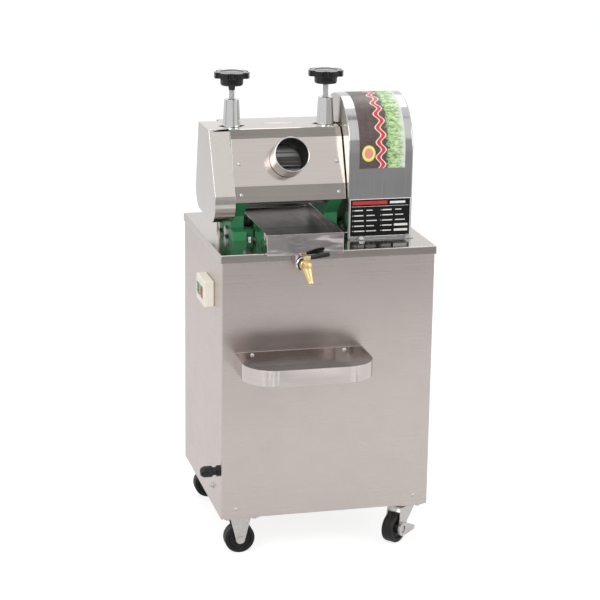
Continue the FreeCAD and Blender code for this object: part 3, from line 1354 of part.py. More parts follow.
def make_screws():
    """Visible screw and bolt heads, each seated on its face."""
    heads = []

    def head(x, y, z, turn):
        item = rod(f"screw_{len(heads)}", (0, 0, 0), s.screw_head, s.screw_head_high)
        heads.append(put(item, (x, y, z), turn))

    for x in (-s.cover_screw_left, s.cover_screw_right):
        for height, low, high in (
                (screw_row_high, (s.plate_reach, plate_height),
                 (s.strip_reach, strip_height)),
                (screw_row_low, (s.lip_reach, lip_height),
                 (s.plate_reach, plate_height))):
            rise = high[1] - low[1]
            run_back = low[0] - high[0]
            length = root(rise * rise + run_back * run_back)
            y = head_y - low[0] + run_back * (height - low[1]) / rise
            outward = FreeCAD.Rotation(Vector(1, 0, 0), math.degrees(
                math.atan2(rise.value, run_back.value)))
            head(head_x + x, y - s.sheet * rise / length,
                 lid + height + s.sheet * run_back / length, outward)
    for side in (-1, 1):
        head(s.cabinet_x - s.shelf_shift + s.shelf_width * side * 0.36, front - s.sheet,
             floor + s.shelf_level + s.shelf_height * 0.8, ALONG["-Y"])
        head(s.cabinet_x + (s.cabinet_width / 2 - s.return_flange * 2) * side, front,
             floor + s.base_lip * 0.85, ALONG["-Y"])
        for level in (0.06, 0.5, 0.94):
            head(s.cabinet_x + (s.cabinet_width / 2 - s.return_flange / 2) * side, back,
                 floor + s.cabinet_height * level, ALONG["Y"])
    piece("panel_screws", group("panel_screws", *heads))

    bolts = []

    def bolt(x, y, z):
        bolts.append(hexagon(f"frame_bolt_{len(bolts)}", (x, y, z), s.bolt_flats, s.bolt_head))

    for side in (-1, 1):
        for end in (-1, 1):
            x = head_x + (half_gap - s.toe_slot_in - s.toe_slot / 2) * side
            bolt(x, head_y + (s.foot_reach - s.toe_length / 4) * end, lid)
    for share in (0.2, 0.92):
        bolt(head_x + s.arch_left + s.arch_width * share,
             head_y - s.arch_radius - s.arch_flange / 2, lid + s.sheet)
    for x in (s.block_a, s.block_b):
        for end in (-1, 1):
            bolt(head_x + x + s.pillow_thick / 2,
                 head_y + (s.pillow_base / 2 - s.bolt_flats / 1.5) * end, lid + s.pillow_foot)
    piece("machine_bolts", group("machine_bolts", *bolts))


make_cabinet()
make_bolts()
make_rigid_casters()
make_axles()
make_swivel_casters()
make_cup_shelf()
make_switch()
make_gland()
make_frames()
make_rollers()
make_pressure_screws()
make_hood()
make_gear_cover()
make_drive_cover()
make_chute()
make_countershaft()
make_motor()
make_tray()
make_screws()
doc.recompute()

# ------------------------------------------------------------------ checks and export

faults = [f"{item.Name}: {item.State}" for item in doc.Objects
          if "Invalid" in item.State or "Error" in item.State]
for node, item in PIECES.items():
    if item.Shape.isNull() or not item.Shape.isValid():
        faults.append(f"{node}: shape is null or not valid")
if faults:
    raise RuntimeError("\n".join(faults))
for node, item in PIECES.items():
    item.Shape.exportStep(f"parts/{node}.step")
print(len(PIECES), "sub-parts written")
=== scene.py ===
"""Looks of a motor-driven sugarcane juicer on a wheeled cabinet: meshes, finishes and stage."""
import logging
import math
from collections.abc import Callable
from dataclasses import dataclass
from enum import Enum

import bmesh
import bpy
from mathutils import Matrix, Vector


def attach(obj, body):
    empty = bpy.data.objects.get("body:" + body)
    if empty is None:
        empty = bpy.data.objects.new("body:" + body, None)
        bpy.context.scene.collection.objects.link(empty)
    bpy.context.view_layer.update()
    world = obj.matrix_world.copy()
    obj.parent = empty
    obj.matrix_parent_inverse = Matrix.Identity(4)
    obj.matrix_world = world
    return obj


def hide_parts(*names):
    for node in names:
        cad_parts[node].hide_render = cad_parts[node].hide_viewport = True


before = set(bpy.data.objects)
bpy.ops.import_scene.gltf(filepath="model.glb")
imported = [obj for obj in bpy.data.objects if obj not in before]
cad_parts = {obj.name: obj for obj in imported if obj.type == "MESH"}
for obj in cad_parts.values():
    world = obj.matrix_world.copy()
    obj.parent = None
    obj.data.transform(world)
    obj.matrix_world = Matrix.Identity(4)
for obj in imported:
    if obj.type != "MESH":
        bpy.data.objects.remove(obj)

LOG = logging.getLogger("juicer")
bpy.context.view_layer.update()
MM = 0.001
FACING = 0.9  # a face looks along an axis when its normal has more than this of it
HERE = Matrix.Identity(4)
WHITE = (1.0, 1.0, 1.0)
Rgb = tuple[float, float, float]
Flat = tuple[float, float]
Spot = tuple[float, float, float]
Solid = bmesh.types.BMesh
Socket = bpy.types.NodeSocket
Sockets = bpy.types.bpy_prop_collection
Node = bpy.types.Node
Thing = bpy.types.Object
Edges = list[bmesh.types.BMEdge]
Cutter = tuple[Solid, Matrix]
Test = Callable[[bmesh.types.BMFace], bool]


def ink(red: int, green: int, blue: int) -> Rgb:
    """Returns a colour given in eight-bit display values as linear light."""
    return tuple(c / 12.92 if c <= 0.04045 else ((c + 0.055) / 1.055) ** 2.4
                 for c in (red / 255, green / 255, blue / 255))


def times(colour: Rgb, factor: float, lift: float = 0.0) -> Rgb:
    """Returns a colour made brighter or darker, and lifted."""
    return tuple(min(1.0, c * factor + lift) for c in colour)


# ---- places and turns

class Turn(Enum):
    """Named turns from a shape's own axes to the machine's axes."""

    PLAN = ((1, 0, 0), (0, 1, 0), (0, 0, 1))
    SIDE = ((0, 0, 1), (1, 0, 0), (0, 1, 0))
    FRONT = ((1, 0, 0), (0, 0, -1), (0, 1, 0))

    def at(self, x: float = 0, y: float = 0, z: float = 0) -> Matrix:
        """Returns this turn followed by a move, in millimetres."""
        return Matrix.Translation((x, y, z)) @ Matrix(self.value).to_4x4()


def aimed(at: Spot, along: Spot) -> Matrix:
    """Returns a placement whose own Z axis runs along a direction."""
    return Matrix.Translation(at) @ Vector(along).to_track_quat("Z", "Y").to_matrix().to_4x4()


def spun(degrees: float) -> Matrix:
    """Returns a turn about Z."""
    return Matrix.Rotation(math.radians(degrees), 4, "Z")


# ---- node graphs

class Graph:
    """A node tree with short calls for adding and joining nodes."""

    def __init__(self, tree: bpy.types.NodeTree) -> None:
        """Keeps the tree that the calls work on."""
        self.tree = tree

    def add(self, kind: str, inputs: dict[str | int, object] | None = None,
            **settings: object) -> Node:
        """Adds a node, feeds its inputs and sets its properties.

        Args:
            kind: The node's type name, without ShaderNode.
            inputs: Sockets or constants for its inputs, by name or number.
            settings: Properties of the node.

        Returns:
            The new node.
        """
        node = self.tree.nodes.new("ShaderNode" + kind)
        for key, value in settings.items():
            setattr(node, key, value)
        for key, value in (inputs or {}).items():
            self.feed(node.inputs[key], value)
        return node

    def feed(self, socket: Socket, value: object) -> None:
        """Joins a socket to another one, or gives it a constant."""
        if isinstance(value, Socket):
            self.tree.links.new(value, socket)
        elif isinstance(value, tuple) and len(value) == 3 and socket.type == "RGBA":
            socket.default_value = (*value, 1.0)
        else:
            socket.default_value = value

    def math(self, operation: str, first: object, second: object = 0.0) -> Socket:
        """Returns the result of one arithmetic node."""
        return self.add("Math", {0: first, 1: second}, operation=operation).outputs[0]

    def product(self, first: object, *others: object) -> Socket:
        """Returns values multiplied together."""
        for other in others:
            first = self.math("MULTIPLY", first, other)
        return first

    def total(self, first: object, *others: object) -> Socket:
        """Returns values added up."""
        for other in others:
            first = self.math("ADD", first, other)
        return first

    def spread(self, value: object, low: object, high: object, out_low: float = 0.0,
               out_high: float = 1.0) -> Socket:
        """Maps a value from the span low to high onto another span and keeps it inside."""
        numbers = enumerate((value, low, high, out_low, out_high))
        return self.add("MapRange", dict(numbers), clamp=True).outputs[0]

    def mix(self, share: object, first: object, second: object) -> Socket:
        """Returns a colour between two others."""
        return self.add("Mix", {0: share, 6: first, 7: second},
                        data_type="RGBA").outputs[2]

    def layered(self, tone: object, *layers: tuple[object, Rgb]) -> Socket:
        """Lays colours over a tone, each with its own share."""
        for share, colour in layers:
            tone = self.mix(share, tone, colour)
        return tone

    def noise(self, vector: Socket, scale: object, detail: float = 3.0,
              rough: float = 0.55) -> Socket:
        """Returns a noise value that changes over the given coordinates."""
        return self.add("TexNoise", {"Vector": vector, "Scale": scale, "Detail": detail,
                                               "Roughness": rough}).outputs["Fac"]

    def scaled(self, vector: Socket, factors: object) -> Socket:
        """Returns coordinates multiplied along each axis."""
        return self.add("VectorMath", {0: vector, 1: factors},
                        operation="MULTIPLY").outputs[0]

    def bump(self, height: Socket, strength: float, distance: float,
             normal: Socket | None = None) -> Socket:
        """Returns a normal that leans with a height."""
        node = self.add("Bump",
                        {"Height": height, "Strength": strength, "Distance": distance})
        if normal:
            self.feed(node.inputs["Normal"], normal)
        return node.outputs["Normal"]

    def places(self) -> Socket:
        """Returns the object's own coordinates."""
        return self.add("TexCoord").outputs["Object"]

    def straight(self) -> Socket:
        """Returns one for rays from the camera, a mirror or glass."""
        seen = self.add("LightPath").outputs
        return self.math("MAXIMUM",
                         self.math("MAXIMUM", seen["Is Camera Ray"], seen["Is Glossy Ray"]),
                         seen["Is Transmission Ray"])


class Effects:
    """Surface effects that several finishes share, each a node group made once."""

    made: dict[str, bpy.types.NodeTree] = {}

    @classmethod
    def open(cls, name: str, inputs: dict[str, object],
             *outputs: str) -> tuple[Graph, Sockets, Sockets]:
        """Starts a node group with named sockets.

        Args:
            name: The group's name.
            inputs: Input names with their default values.
            outputs: Output names.

        Returns:
            The group's graph, the sockets it is given and those it fills.
        """
        tree = cls.made[name] = bpy.data.node_groups.new(name, "ShaderNodeTree")
        for key, value in inputs.items():
            kind = "NodeSocketVector" if isinstance(value, tuple) else "NodeSocketFloat"
            socket = tree.interface.new_socket(name=key, in_out="INPUT", socket_type=kind)
            socket.default_value = value
        for key in outputs:
            kind = "NodeSocketVector" if key == "Normal" else "NodeSocketFloat"
            tree.interface.new_socket(name=key, in_out="OUTPUT", socket_type=kind)
        return (Graph(tree), tree.nodes.new("NodeGroupInput").outputs,
                tree.nodes.new("NodeGroupOutput").inputs)

    @classmethod
    def use(cls, graph: Graph, name: str, **values: object) -> Sockets:
        """Places a shared effect in a material and returns its outputs."""
        if name not in cls.made:
            getattr(cls, "make_" + name)()
        return graph.add("Group", values, node_tree=cls.made[name]).outputs

    @classmethod
    def make_wear(cls) -> None:
        """Edge wear: a mask on corners, broken up, and a normal with softened corners."""
        graph, given, result = cls.open("wear", {"Radius": 0.001, "Reach": 0.12}, "Mask", "Normal")
        round_edge = graph.add("Bevel", {"Radius": given["Radius"]}, samples=6)
        flat = graph.add("NewGeometry")
        alike = graph.add("VectorMath", {0: round_edge.outputs[0],
                                                   1: flat.outputs["Normal"]},
                          operation="DOT_PRODUCT")
        bend = graph.math("SUBTRACT", 1.0, alike.outputs["Value"])
        edge = graph.spread(bend, 0.01, given["Reach"])
        broken = graph.spread(graph.noise(graph.places(), 160.0, 4.0), 0.35, 0.62)
        graph.feed(result["Mask"], graph.product(edge, broken))
        graph.feed(result["Normal"], round_edge.outputs[0])

    @classmethod
    def make_grain(cls) -> None:
        """Drawn grain: fine lines along one way, and slow clouds across the sheet."""
        graph, given, result = cls.open("grain", {"Stretch": (1.0, 1.0, 1.0)}, "Fine", "Cloud")
        places = graph.places()
        drawn = graph.scaled(places, given["Stretch"])
        graph.feed(result["Fine"], graph.noise(drawn, 1.0, 5.0, 0.6))
        graph.feed(result["Cloud"], graph.noise(places, 5.5, 3.0, 0.5))

    @classmethod
    def make_smudge(cls) -> None:
        """Hand marks and water film: soft patches with a finer broken edge."""
        graph, given, result = cls.open("smudge", {"Scale": 20.0, "Amount": 0.5}, "Mask")
        places = graph.places()
        patch = graph.spread(graph.noise(places, given["Scale"], 4.0, 0.6), 0.5, 0.72)
        fine = graph.spread(graph.noise(places, 240.0, 3.0, 0.6), 0.3, 0.7, 0.45)
        graph.feed(result["Mask"], graph.product(patch, fine, given["Amount"]))

    @classmethod
    def make_dust(cls) -> None:
        """Dust that has settled on faces that look up."""
        graph, given, result = cls.open("dust", {"Amount": 0.4}, "Mask")
        looks = graph.add("NewGeometry").outputs["Normal"]
        up = graph.add("SeparateXYZ", {0: looks}).outputs["Z"]
        specks = graph.spread(graph.noise(graph.places(), 110.0, 5.0, 0.7), 0.42, 0.68, 0.1)
        level = graph.spread(up, 0.35, 0.95)
        graph.feed(result["Mask"], graph.product(level, specks, given["Amount"]))


def shader(name: str) -> tuple[bpy.types.Material, Graph, Node]:
    """Returns a new node material, its graph and its Principled shader."""
    material = bpy.data.materials.new(name)
    material.use_nodes = True
    return material, Graph(material.node_tree), material.node_tree.nodes["Principled BSDF"]


# ---- finishes

class Grain(Enum):
    """Which way the fine lines of a drawn or ground surface run."""

    ALONG_X = (4.0, 520.0, 520.0)
    ALONG_Y = (420.0, 6.0, 420.0)
    ALONG_Z = (420.0, 420.0, 6.0)
    LEVEL = (1.6, 1.6, 640.0)
    ROUND_X = (420.0, 5.0, 5.0)
    CAST = (170.0, 170.0, 170.0)


@dataclass(frozen=True)
class Finish:
    """A finish with a name, made into a material the first time it is asked for."""

    name: str

    def material(self) -> bpy.types.Material:
        """Returns the finish as a material, made once."""
        if self.name in bpy.data.materials:
            return bpy.data.materials[self.name]
        material, graph, face = shader(self.name)
        for key, value in self.looks(graph).items():
            graph.feed(face.inputs[key], value)
        return material

    def looks(self, graph: Graph) -> dict[str, object]:
        """Returns what goes into the Principled shader, by the names of its inputs."""
        raise NotImplementedError


@dataclass(frozen=True)
class Steel(Finish):
    """Stainless or plated steel with drawn grain, smudges and bright edges."""

    colour: Rgb
    rough: float
    grain: Grain
    contrast: float = 0.10
    depth: float = 0.05
    wave: float = 0.0
    wave_scale: float = 9.0
    smudge: float = 0.5
    dust: float = 0.12
    edge: float = 0.0007
    lay: float = 0.0

    def looks(self, graph: Graph) -> dict[str, object]:
        """Returns what goes into the Principled shader, by the names of its inputs."""
        grain = Effects.use(graph, "grain", Stretch=self.grain.value)
        wear = Effects.use(graph, "wear", Radius=self.edge)
        marks = Effects.use(graph, "smudge", Scale=16.0, Amount=self.smudge)["Mask"]
        dust = Effects.use(graph, "dust", Amount=self.dust)["Mask"]
        fine, normal = grain["Fine"], wear["Normal"]
        tone = graph.layered(
            times(self.colour, 1 - self.contrast),
            (graph.spread(fine, 0.3, 0.7), times(self.colour, 1 + self.contrast * 0.6)),
            (graph.spread(grain["Cloud"], 0.35, 0.7, 0.0, 0.35),
             tuple(c * f for c, f in zip(self.colour, (0.90, 0.89, 0.90)))),
            (graph.product(marks, 0.22), times(self.colour, 0.72)),
            (graph.product(wear["Mask"], 0.55), ink(232, 229, 226)),
            (dust, ink(176, 170, 160)))
        rough = graph.total(graph.spread(fine, 0.3, 0.7, self.rough * 0.85, self.rough * 1.15),
                            graph.product(marks, 0.14), graph.product(dust, 0.3))
        if self.wave:
            swell = graph.scaled(graph.places(), (0.5, 1.0, 1.5))
            normal = graph.bump(graph.noise(swell, self.wave_scale, 2.0, 0.4), 1.0, self.wave,
                                normal)
        return {"Base Color": tone, "Metallic": 1.0, "Anisotropic": self.lay, "Roughness": rough,
                "Normal": graph.bump(fine, self.depth, 0.0004, normal)}


@dataclass(frozen=True)
class Coating(Finish):
    """Paint, moulded plastic or rubber: a coloured skin with texture, wear and dust."""

    colour: Rgb
    rough: float
    texture: float
    texture_scale: float
    vary: float = 0.14
    worn: Rgb = (0.35, 0.35, 0.34)
    wear: float = 0.25
    dust: float = 0.25
    edge: float = 0.0012
    coat: float = 0.0
    lump: float = 0.0
    shine: float = 0.5

    def looks(self, graph: Graph) -> dict[str, object]:
        """Returns what goes into the Principled shader, by the names of its inputs."""
        places = graph.places()
        wear = Effects.use(graph, "wear", Radius=self.edge)
        dust = Effects.use(graph, "dust", Amount=self.dust)["Mask"]
        marks = Effects.use(graph, "smudge", Scale=28.0, Amount=0.6)["Mask"]
        skin, normal = graph.noise(places, self.texture_scale, 3.0, 0.6), wear["Normal"]
        slow = graph.noise(places, 30.0, 3.0, 0.5)
        tone = graph.layered(
            times(self.colour, 1 - self.vary),
            (graph.spread(slow, 0.3, 0.7), times(self.colour, 1 + self.vary)),
            (graph.spread(skin, 0.4, 0.75, 0.0, 0.12), times(self.colour, 1.35, 0.01)),
            (graph.product(wear["Mask"], self.wear), self.worn),
            (dust, ink(150, 145, 136)))
        rough = graph.total(
            graph.spread(slow, 0.3, 0.7, self.rough * 0.85, min(1.0, self.rough * 1.15)),
            graph.product(marks, -0.10), graph.product(dust, 0.35))
        if self.lump:
            normal = graph.bump(graph.noise(places, 85.0, 2.0, 0.5), 0.8, self.lump, normal)
        return {"Base Color": tone, "Coat Weight": self.coat, "Coat Roughness": 0.12,
                "Specular IOR Level": self.shine, "Roughness": rough,
                "Normal": graph.bump(skin, self.texture, 0.0005, normal)}


@dataclass(frozen=True)
class PrintedFilm(Finish):
    """The printed film on the arch: woven brown, a ribbon of red waves and blades of grass."""

    tiles: float = 46.0
    blades: float = 34.0

    def looks(self, graph: Graph) -> dict[str, object]:
        """Returns what goes into the Principled shader, by the names of its inputs."""
        spot = graph.add("UVMap", uv_map="print").outputs[0]
        parts = graph.add("SeparateXYZ", {0: spot}).outputs
        across, along = parts["X"], parts["Y"]
        brick = graph.add("TexBrick", {
            "Vector": spot, "Scale": self.tiles, "Mortar Size": 0.05, "Brick Width": 1.0,
            "Row Height": 0.5, "Color1": ink(62, 50, 50), "Color2": ink(84, 68, 66),
            "Mortar": ink(136, 120, 116)}, offset=0.5)
        ground = graph.mix(graph.spread(graph.noise(spot, 9.0, 4.0), 0.35, 0.7, 0.0, 0.5),
                           brick.outputs["Color"], ink(58, 44, 42))
        drawn = graph.scaled(spot, (7.0, self.blades, 1.0))
        blade = graph.noise(drawn, 1.0, 4.0, 0.65)
        grass = graph.layered(
            ink(96, 150, 76), (graph.spread(blade, 0.38, 0.62), ink(206, 232, 170)),
            (graph.spread(graph.noise(drawn, 2.6, 3.0), 0.56, 0.7, 0.0, 0.8), ink(242, 247, 230)))
        reach = graph.total(across, graph.product(blade, -0.46))
        pale = graph.total(across, graph.product(blade, 0.30))
        wave = graph.product(graph.math("SINE", graph.product(along, 52.0)), 0.055)
        middle = graph.math("SUBTRACT", across, 0.47)
        off = graph.math("ABSOLUTE", graph.math("SUBTRACT", middle, wave))
        disc = graph.add("VectorMath", {0: graph.scaled(spot, (1.0, 2.2, 0.0)),
                                                  1: (0.20, 0.27, 0.0)},
                         operation="DISTANCE").outputs["Value"]
        picture = graph.layered(
            graph.mix(graph.spread(reach, 0.38, 0.40), ground, grass),
            (graph.spread(pale, 0.98, 1.12, 0.0, 0.9), ink(222, 226, 212)),
            (graph.spread(off, 0.072, 0.060), ink(246, 236, 228)),
            (graph.spread(off, 0.048, 0.036), ink(214, 60, 58)),
            (graph.spread(disc, 0.150, 0.142), ink(240, 226, 92)),
            (graph.spread(disc, 0.122, 0.114), ink(246, 240, 180)),
            (graph.spread(disc, 0.100, 0.092), ink(232, 152, 128)),
            (Effects.use(graph, "dust", Amount=0.10)["Mask"], ink(190, 186, 178)))
        return {"Base Color": picture,
                "Roughness": graph.spread(graph.noise(graph.places(), 40.0), 0.3, 0.7, 0.26, 0.42),
                "Normal": graph.bump(graph.noise(graph.places(), 60.0), 0.12, 0.0003)}


# ---- shapes

class Shape:
    """Solids gathered in millimetres, then made into one named piece in metres."""

    def __init__(self) -> None:
        """Starts with nothing in it."""
        self.mesh = bmesh.new()

    def take(self, solid: Solid, at: Matrix = HERE, finish: int = 0,
             keep: bool = False) -> "Shape":
        """Adds a solid.

        Args:
            solid: The solid, in its own axes.
            at: Where it goes.
            finish: The number of its finish in the piece's list.
            keep: Whether the solid is used again.

        Returns:
            The shape itself.
        """
        part = solid.copy() if keep else solid
        bmesh.ops.transform(part, matrix=at, verts=part.verts)
        for face in part.faces:
            face.material_index = max(face.material_index, finish)
        carrier = bpy.data.meshes.new("part")
        part.to_mesh(carrier)
        part.free()
        self.mesh.from_mesh(carrier)
        bpy.data.meshes.remove(carrier)
        return self

    def spin(self, line: list[Flat], steps: int, at: Matrix = HERE, finish: int = 0) -> "Shape":
        """Adds a line spun about Z."""
        return self.take(lathe(line, steps), at, finish)

    def cut(self, *cutters: Cutter) -> "Shape":
        """Takes other solids away from what is gathered.

        Args:
            cutters: Each cutting solid with its place.

        Returns:
            The shape itself.
        """
        body = as_object("body", self.mesh)
        tools = []
        for number, (solid, at) in enumerate(cutters):
            bmesh.ops.transform(solid, matrix=at, verts=solid.verts)
            tools.append(as_object(f"cutter_{number}", solid))
            solid.free()
            step = body.modifiers.new(f"cut_{number}", "BOOLEAN")
            step.operation, step.solver, step.object = "DIFFERENCE", "EXACT", tools[-1]
        settled = body.evaluated_get(bpy.context.evaluated_depsgraph_get())
        mesh = bpy.data.meshes.new_from_object(settled)
        self.mesh.clear()
        self.mesh.from_mesh(mesh)
        for item in [body, *tools]:
            data = item.data
            bpy.data.objects.remove(item)
            bpy.data.meshes.remove(data)
        bpy.data.meshes.remove(mesh)
        return self

    def become(self, name: str, slot: str, finishes: list[Finish], *stands_for: str,
               body: str = "machine", smooth: float = 32.0) -> None:
        """Makes the piece, dresses it and hangs it on its body.

        Args:
            name: The piece's name.
            slot: The record's material slot; not used.
            finishes: The finishes, in the order of their numbers.
            stands_for: The nodes that the piece replaces.
            body: The body that carries it.
            smooth: Edges sharper than this angle stay sharp, in degrees.
        """
        bmesh.ops.remove_doubles(self.mesh, verts=self.mesh.verts, dist=0.0005)
        bmesh.ops.transform(self.mesh, matrix=Matrix.Scale(MM, 4), verts=self.mesh.verts)
        piece = as_object(name, self.mesh)
        self.mesh.free()
        piece.data.shade_smooth()
        piece.data.set_sharp_from_angle(angle=math.radians(smooth))
        even = piece.modifiers.new("even_normals", "WEIGHTED_NORMAL")
        even.keep_sharp, even.weight = True, 60
        for finish in finishes:
            piece.data.materials.append(finish.material())
        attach(piece, body)
        if stands_for:
            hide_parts(*stands_for)
        Ledger.add(piece, stands_for)


class Ledger:
    """What has been made, for the log."""

    pieces: list[str] = []
    replaced: set[str] = set()

    @classmethod
    def add(cls, piece: Thing, stands_for: tuple[str, ...]) -> None:
        """Notes a piece and logs its size."""
        cls.pieces.append(piece.name)
        cls.replaced.update(stands_for)
        LOG.info("%s: %d faces, for %s", piece.name, len(piece.data.polygons),
                 ", ".join(stands_for) or "no node")


def placed(name: str, data: bpy.types.ID) -> Thing:
    """Puts a mesh, a lamp or a camera into the scene."""
    item = bpy.data.objects.new(name, data)
    bpy.context.scene.collection.objects.link(item)
    return item


def as_object(name: str, solid: Solid) -> Thing:
    """Puts a copy of a bmesh into the scene."""
    mesh = bpy.data.meshes.new(name)
    solid.to_mesh(mesh)
    return placed(name, mesh)


def outward(solid: Solid) -> Solid:
    """Merges doubles and turns every face of a closed solid outwards."""
    bmesh.ops.remove_doubles(solid, verts=solid.verts, dist=0.0005)
    bmesh.ops.recalc_face_normals(solid, faces=solid.faces)
    return solid


def roll(solid: Solid, edges: Edges, reach: float, segments: int,
         clamp: bool = True) -> Solid:
    """Rounds the given edges of a solid."""
    bmesh.ops.bevel(solid, geom=edges, offset=reach, offset_type="OFFSET", segments=segments,
                    profile=0.5, affect="EDGES", material=-1, clamp_overlap=clamp)
    return solid


def creases(solid: Solid, angle: float) -> Edges:
    """Finds the edges that fold more than an angle, in degrees."""
    return [e for e in solid.edges
            if len(e.link_faces) == 2 and e.calc_face_angle(0.0) > math.radians(angle)]


def soften(solid: Solid, radius: float, angle: float = 35.0, segments: int = 2) -> Solid:
    """Rounds the edges of a solid that fold more than an angle, in degrees."""
    solid.normal_update()
    return roll(solid, creases(solid, angle), radius, segments)


def deburr(sheet: Solid) -> Solid:
    """Takes the sharpness off the cut edges of a sheet."""
    return soften(sheet, 0.25, 60.0, 1)


def across(face: bmesh.types.BMFace) -> bool:
    """Tells whether a face lies across Z."""
    return abs(face.normal.z) > FACING


def border(solid: Solid, test: Test) -> Edges:
    """Finds the edges between a face that passes a test and one that does not."""
    return [e for e in solid.edges if len(e.link_faces) == 2 and sum(map(test, e.link_faces)) == 1]


def uncover(solid: Solid, test: Test) -> None:
    """Deletes the faces that pass a test and keeps their edges."""
    bmesh.ops.delete(solid, geom=[f for f in solid.faces if test(f)], context="FACES_ONLY")


def lathe(line: list[Flat], steps: int) -> Solid:
    """Spins a line about Z.

    Args:
        line: Radius and height of each point, closed or ending on the axis.
        steps: Faces round the axis.

    Returns:
        The spun solid.
    """
    solid = bmesh.new()
    spots = [solid.verts.new((r, 0, z)) for r, z in line]
    edges = [solid.edges.new(pair) for pair in zip(spots, spots[1:])]
    if line[0][0] > 0 and line[-1][0] > 0:
        edges.append(solid.edges.new((spots[-1], spots[0])))
    bmesh.ops.spin(solid, geom=spots + edges, cent=(0, 0, 0), axis=(0, 0, 1), dvec=(0, 0, 0),
                   angle=math.tau, steps=steps, use_merge=True, use_duplicate=False)
    return outward(solid)


def rod(radius: float, low: float, high: float, steps: int) -> Solid:
    """A plain cylinder about Z, for drilling."""
    return lathe([(0, low), (radius, low), (radius, high), (0, high)], steps)


def moved(solid: Solid, drawn: dict[str, list], by: Spot) -> None:
    """Moves the points that an extrusion has made."""
    far = [v for v in drawn["geom"] if isinstance(v, bmesh.types.BMVert)]
    bmesh.ops.translate(solid, vec=by, verts=far)


def slab(outline: list[Flat], depth: float) -> Solid:
    """Draws an outline out along Z."""
    solid = bmesh.new()
    face = solid.faces.new([solid.verts.new((x, y, 0)) for x, y in outline])
    moved(solid, bmesh.ops.extrude_face_region(solid, geom=[face], use_keep_orig=True),
          (0, 0, depth))
    return outward(solid)


def block(low: Spot, high: Spot, radius: float = 0.0, segments: int = 3) -> Solid:
    """A box between two corners, with its edges rounded.

    Args:
        low: The lowest corner.
        high: The highest corner.
        radius: The rounding of its edges.
        segments: Faces in each rounding.

    Returns:
        The solid.
    """
    solid = bmesh.new()
    bmesh.ops.create_cube(solid, size=1.0)
    bmesh.ops.scale(solid, vec=Vector(high) - Vector(low), verts=solid.verts)
    bmesh.ops.translate(solid, vec=(Vector(high) + Vector(low)) / 2, verts=solid.verts)
    return soften(solid, radius, 35.0, segments) if radius else solid


def diamond(x: float, y: float, z: float, opening: float = 30.0) -> Cutter:
    """A cutter for the square hole, standing on its corner, round a screw sleeve."""
    side = opening * math.sqrt(2) / 2
    return block((-side, -side, -9), (side, side, 9)), Turn.PLAN.at(x, y, z) @ spun(45)


def prism(flats: float, depth: float, chamfer: float) -> Solid:
    """A hexagon of a given width across its flats, chamfered at both ends."""
    solid = bmesh.new()
    corner = flats / math.sqrt(3)
    bmesh.ops.create_cone(solid, cap_ends=True, segments=6, radius1=corner, radius2=corner,
                          depth=depth, matrix=Matrix.Translation((0, 0, depth / 2)))
    return soften(solid, chamfer, 70.0, 2)


def bend(solid: Solid, line: list[Flat], radii: dict[int, float]) -> Solid:
    """Gives the corners of a drawn-out line their bend radius.

    Args:
        solid: The sheet or solid that was drawn out from the line.
        line: The line's points.
        radii: The bend radius of each point that has one, by its number.

    Returns:
        The same solid.
    """
    near, upright, facet, most = 0.2, 0.1, 4.0, 40
    for number, radius in radii.items():
        here = Vector(line[number])
        turn = (here - Vector(line[number - 1])).angle(
            Vector(line[(number + 1) % len(line)]) - here)
        steps = max(3, int(radius * turn / facet)) if radius > 2 * facet else 4
        corner = [e for e in solid.edges
                  if all((v.co.xy - here).length < near for v in e.verts)
                  and abs(e.verts[0].co.z - e.verts[1].co.z) > upright]
        roll(solid, corner, radius * math.tan(turn / 2), min(steps, most), clamp=False)
    bmesh.ops.remove_doubles(solid, verts=solid.verts, dist=0.02)
    return solid


def thicken(sheet: Solid, wall: float, inward: bool = True) -> Solid:
    """Gives a sheet its wall, against or along the way its faces look, and deburrs it."""
    sheet.normal_update()
    bmesh.ops.solidify(sheet, geom=sheet.faces[:], thickness=wall if inward else -wall)
    if not inward:
        bmesh.ops.reverse_faces(sheet, faces=sheet.faces)
    return deburr(sheet)


def folded(line: list[Flat], radii: dict[int, float], span: float, wall: float) -> Solid:
    """A folded sheet: a line drawn out along Z, bent, and given a wall on its right-hand side.

    Args:
        line: The points of the line.
        radii: The bend radius of each inner point, by its number.
        span: How far the line is drawn out.
        wall: The wall's thickness.

    Returns:
        The solid.
    """
    sheet = bmesh.new()
    spots = [sheet.verts.new((x, y, 0)) for x, y in line]
    edges = [sheet.edges.new(pair) for pair in zip(spots, spots[1:])]
    moved(sheet, bmesh.ops.extrude_edge_only(sheet, edges=edges), (0, 0, span))
    return thicken(bend(sheet, line, radii), wall)


def ring_of(solid: Solid, count: int, radius: float, shape: Shape, at: Matrix = HERE) -> None:
    """Adds copies of a solid round a circle, each with its X axis pointing outwards."""
    for number in range(count):
        turn = Matrix.Rotation(math.tau * number / count, 4, "Z")
        shape.take(solid, at @ turn @ Matrix.Translation((radius, 0, 0)), keep=True)
    solid.free()


# ---- the machine's finishes

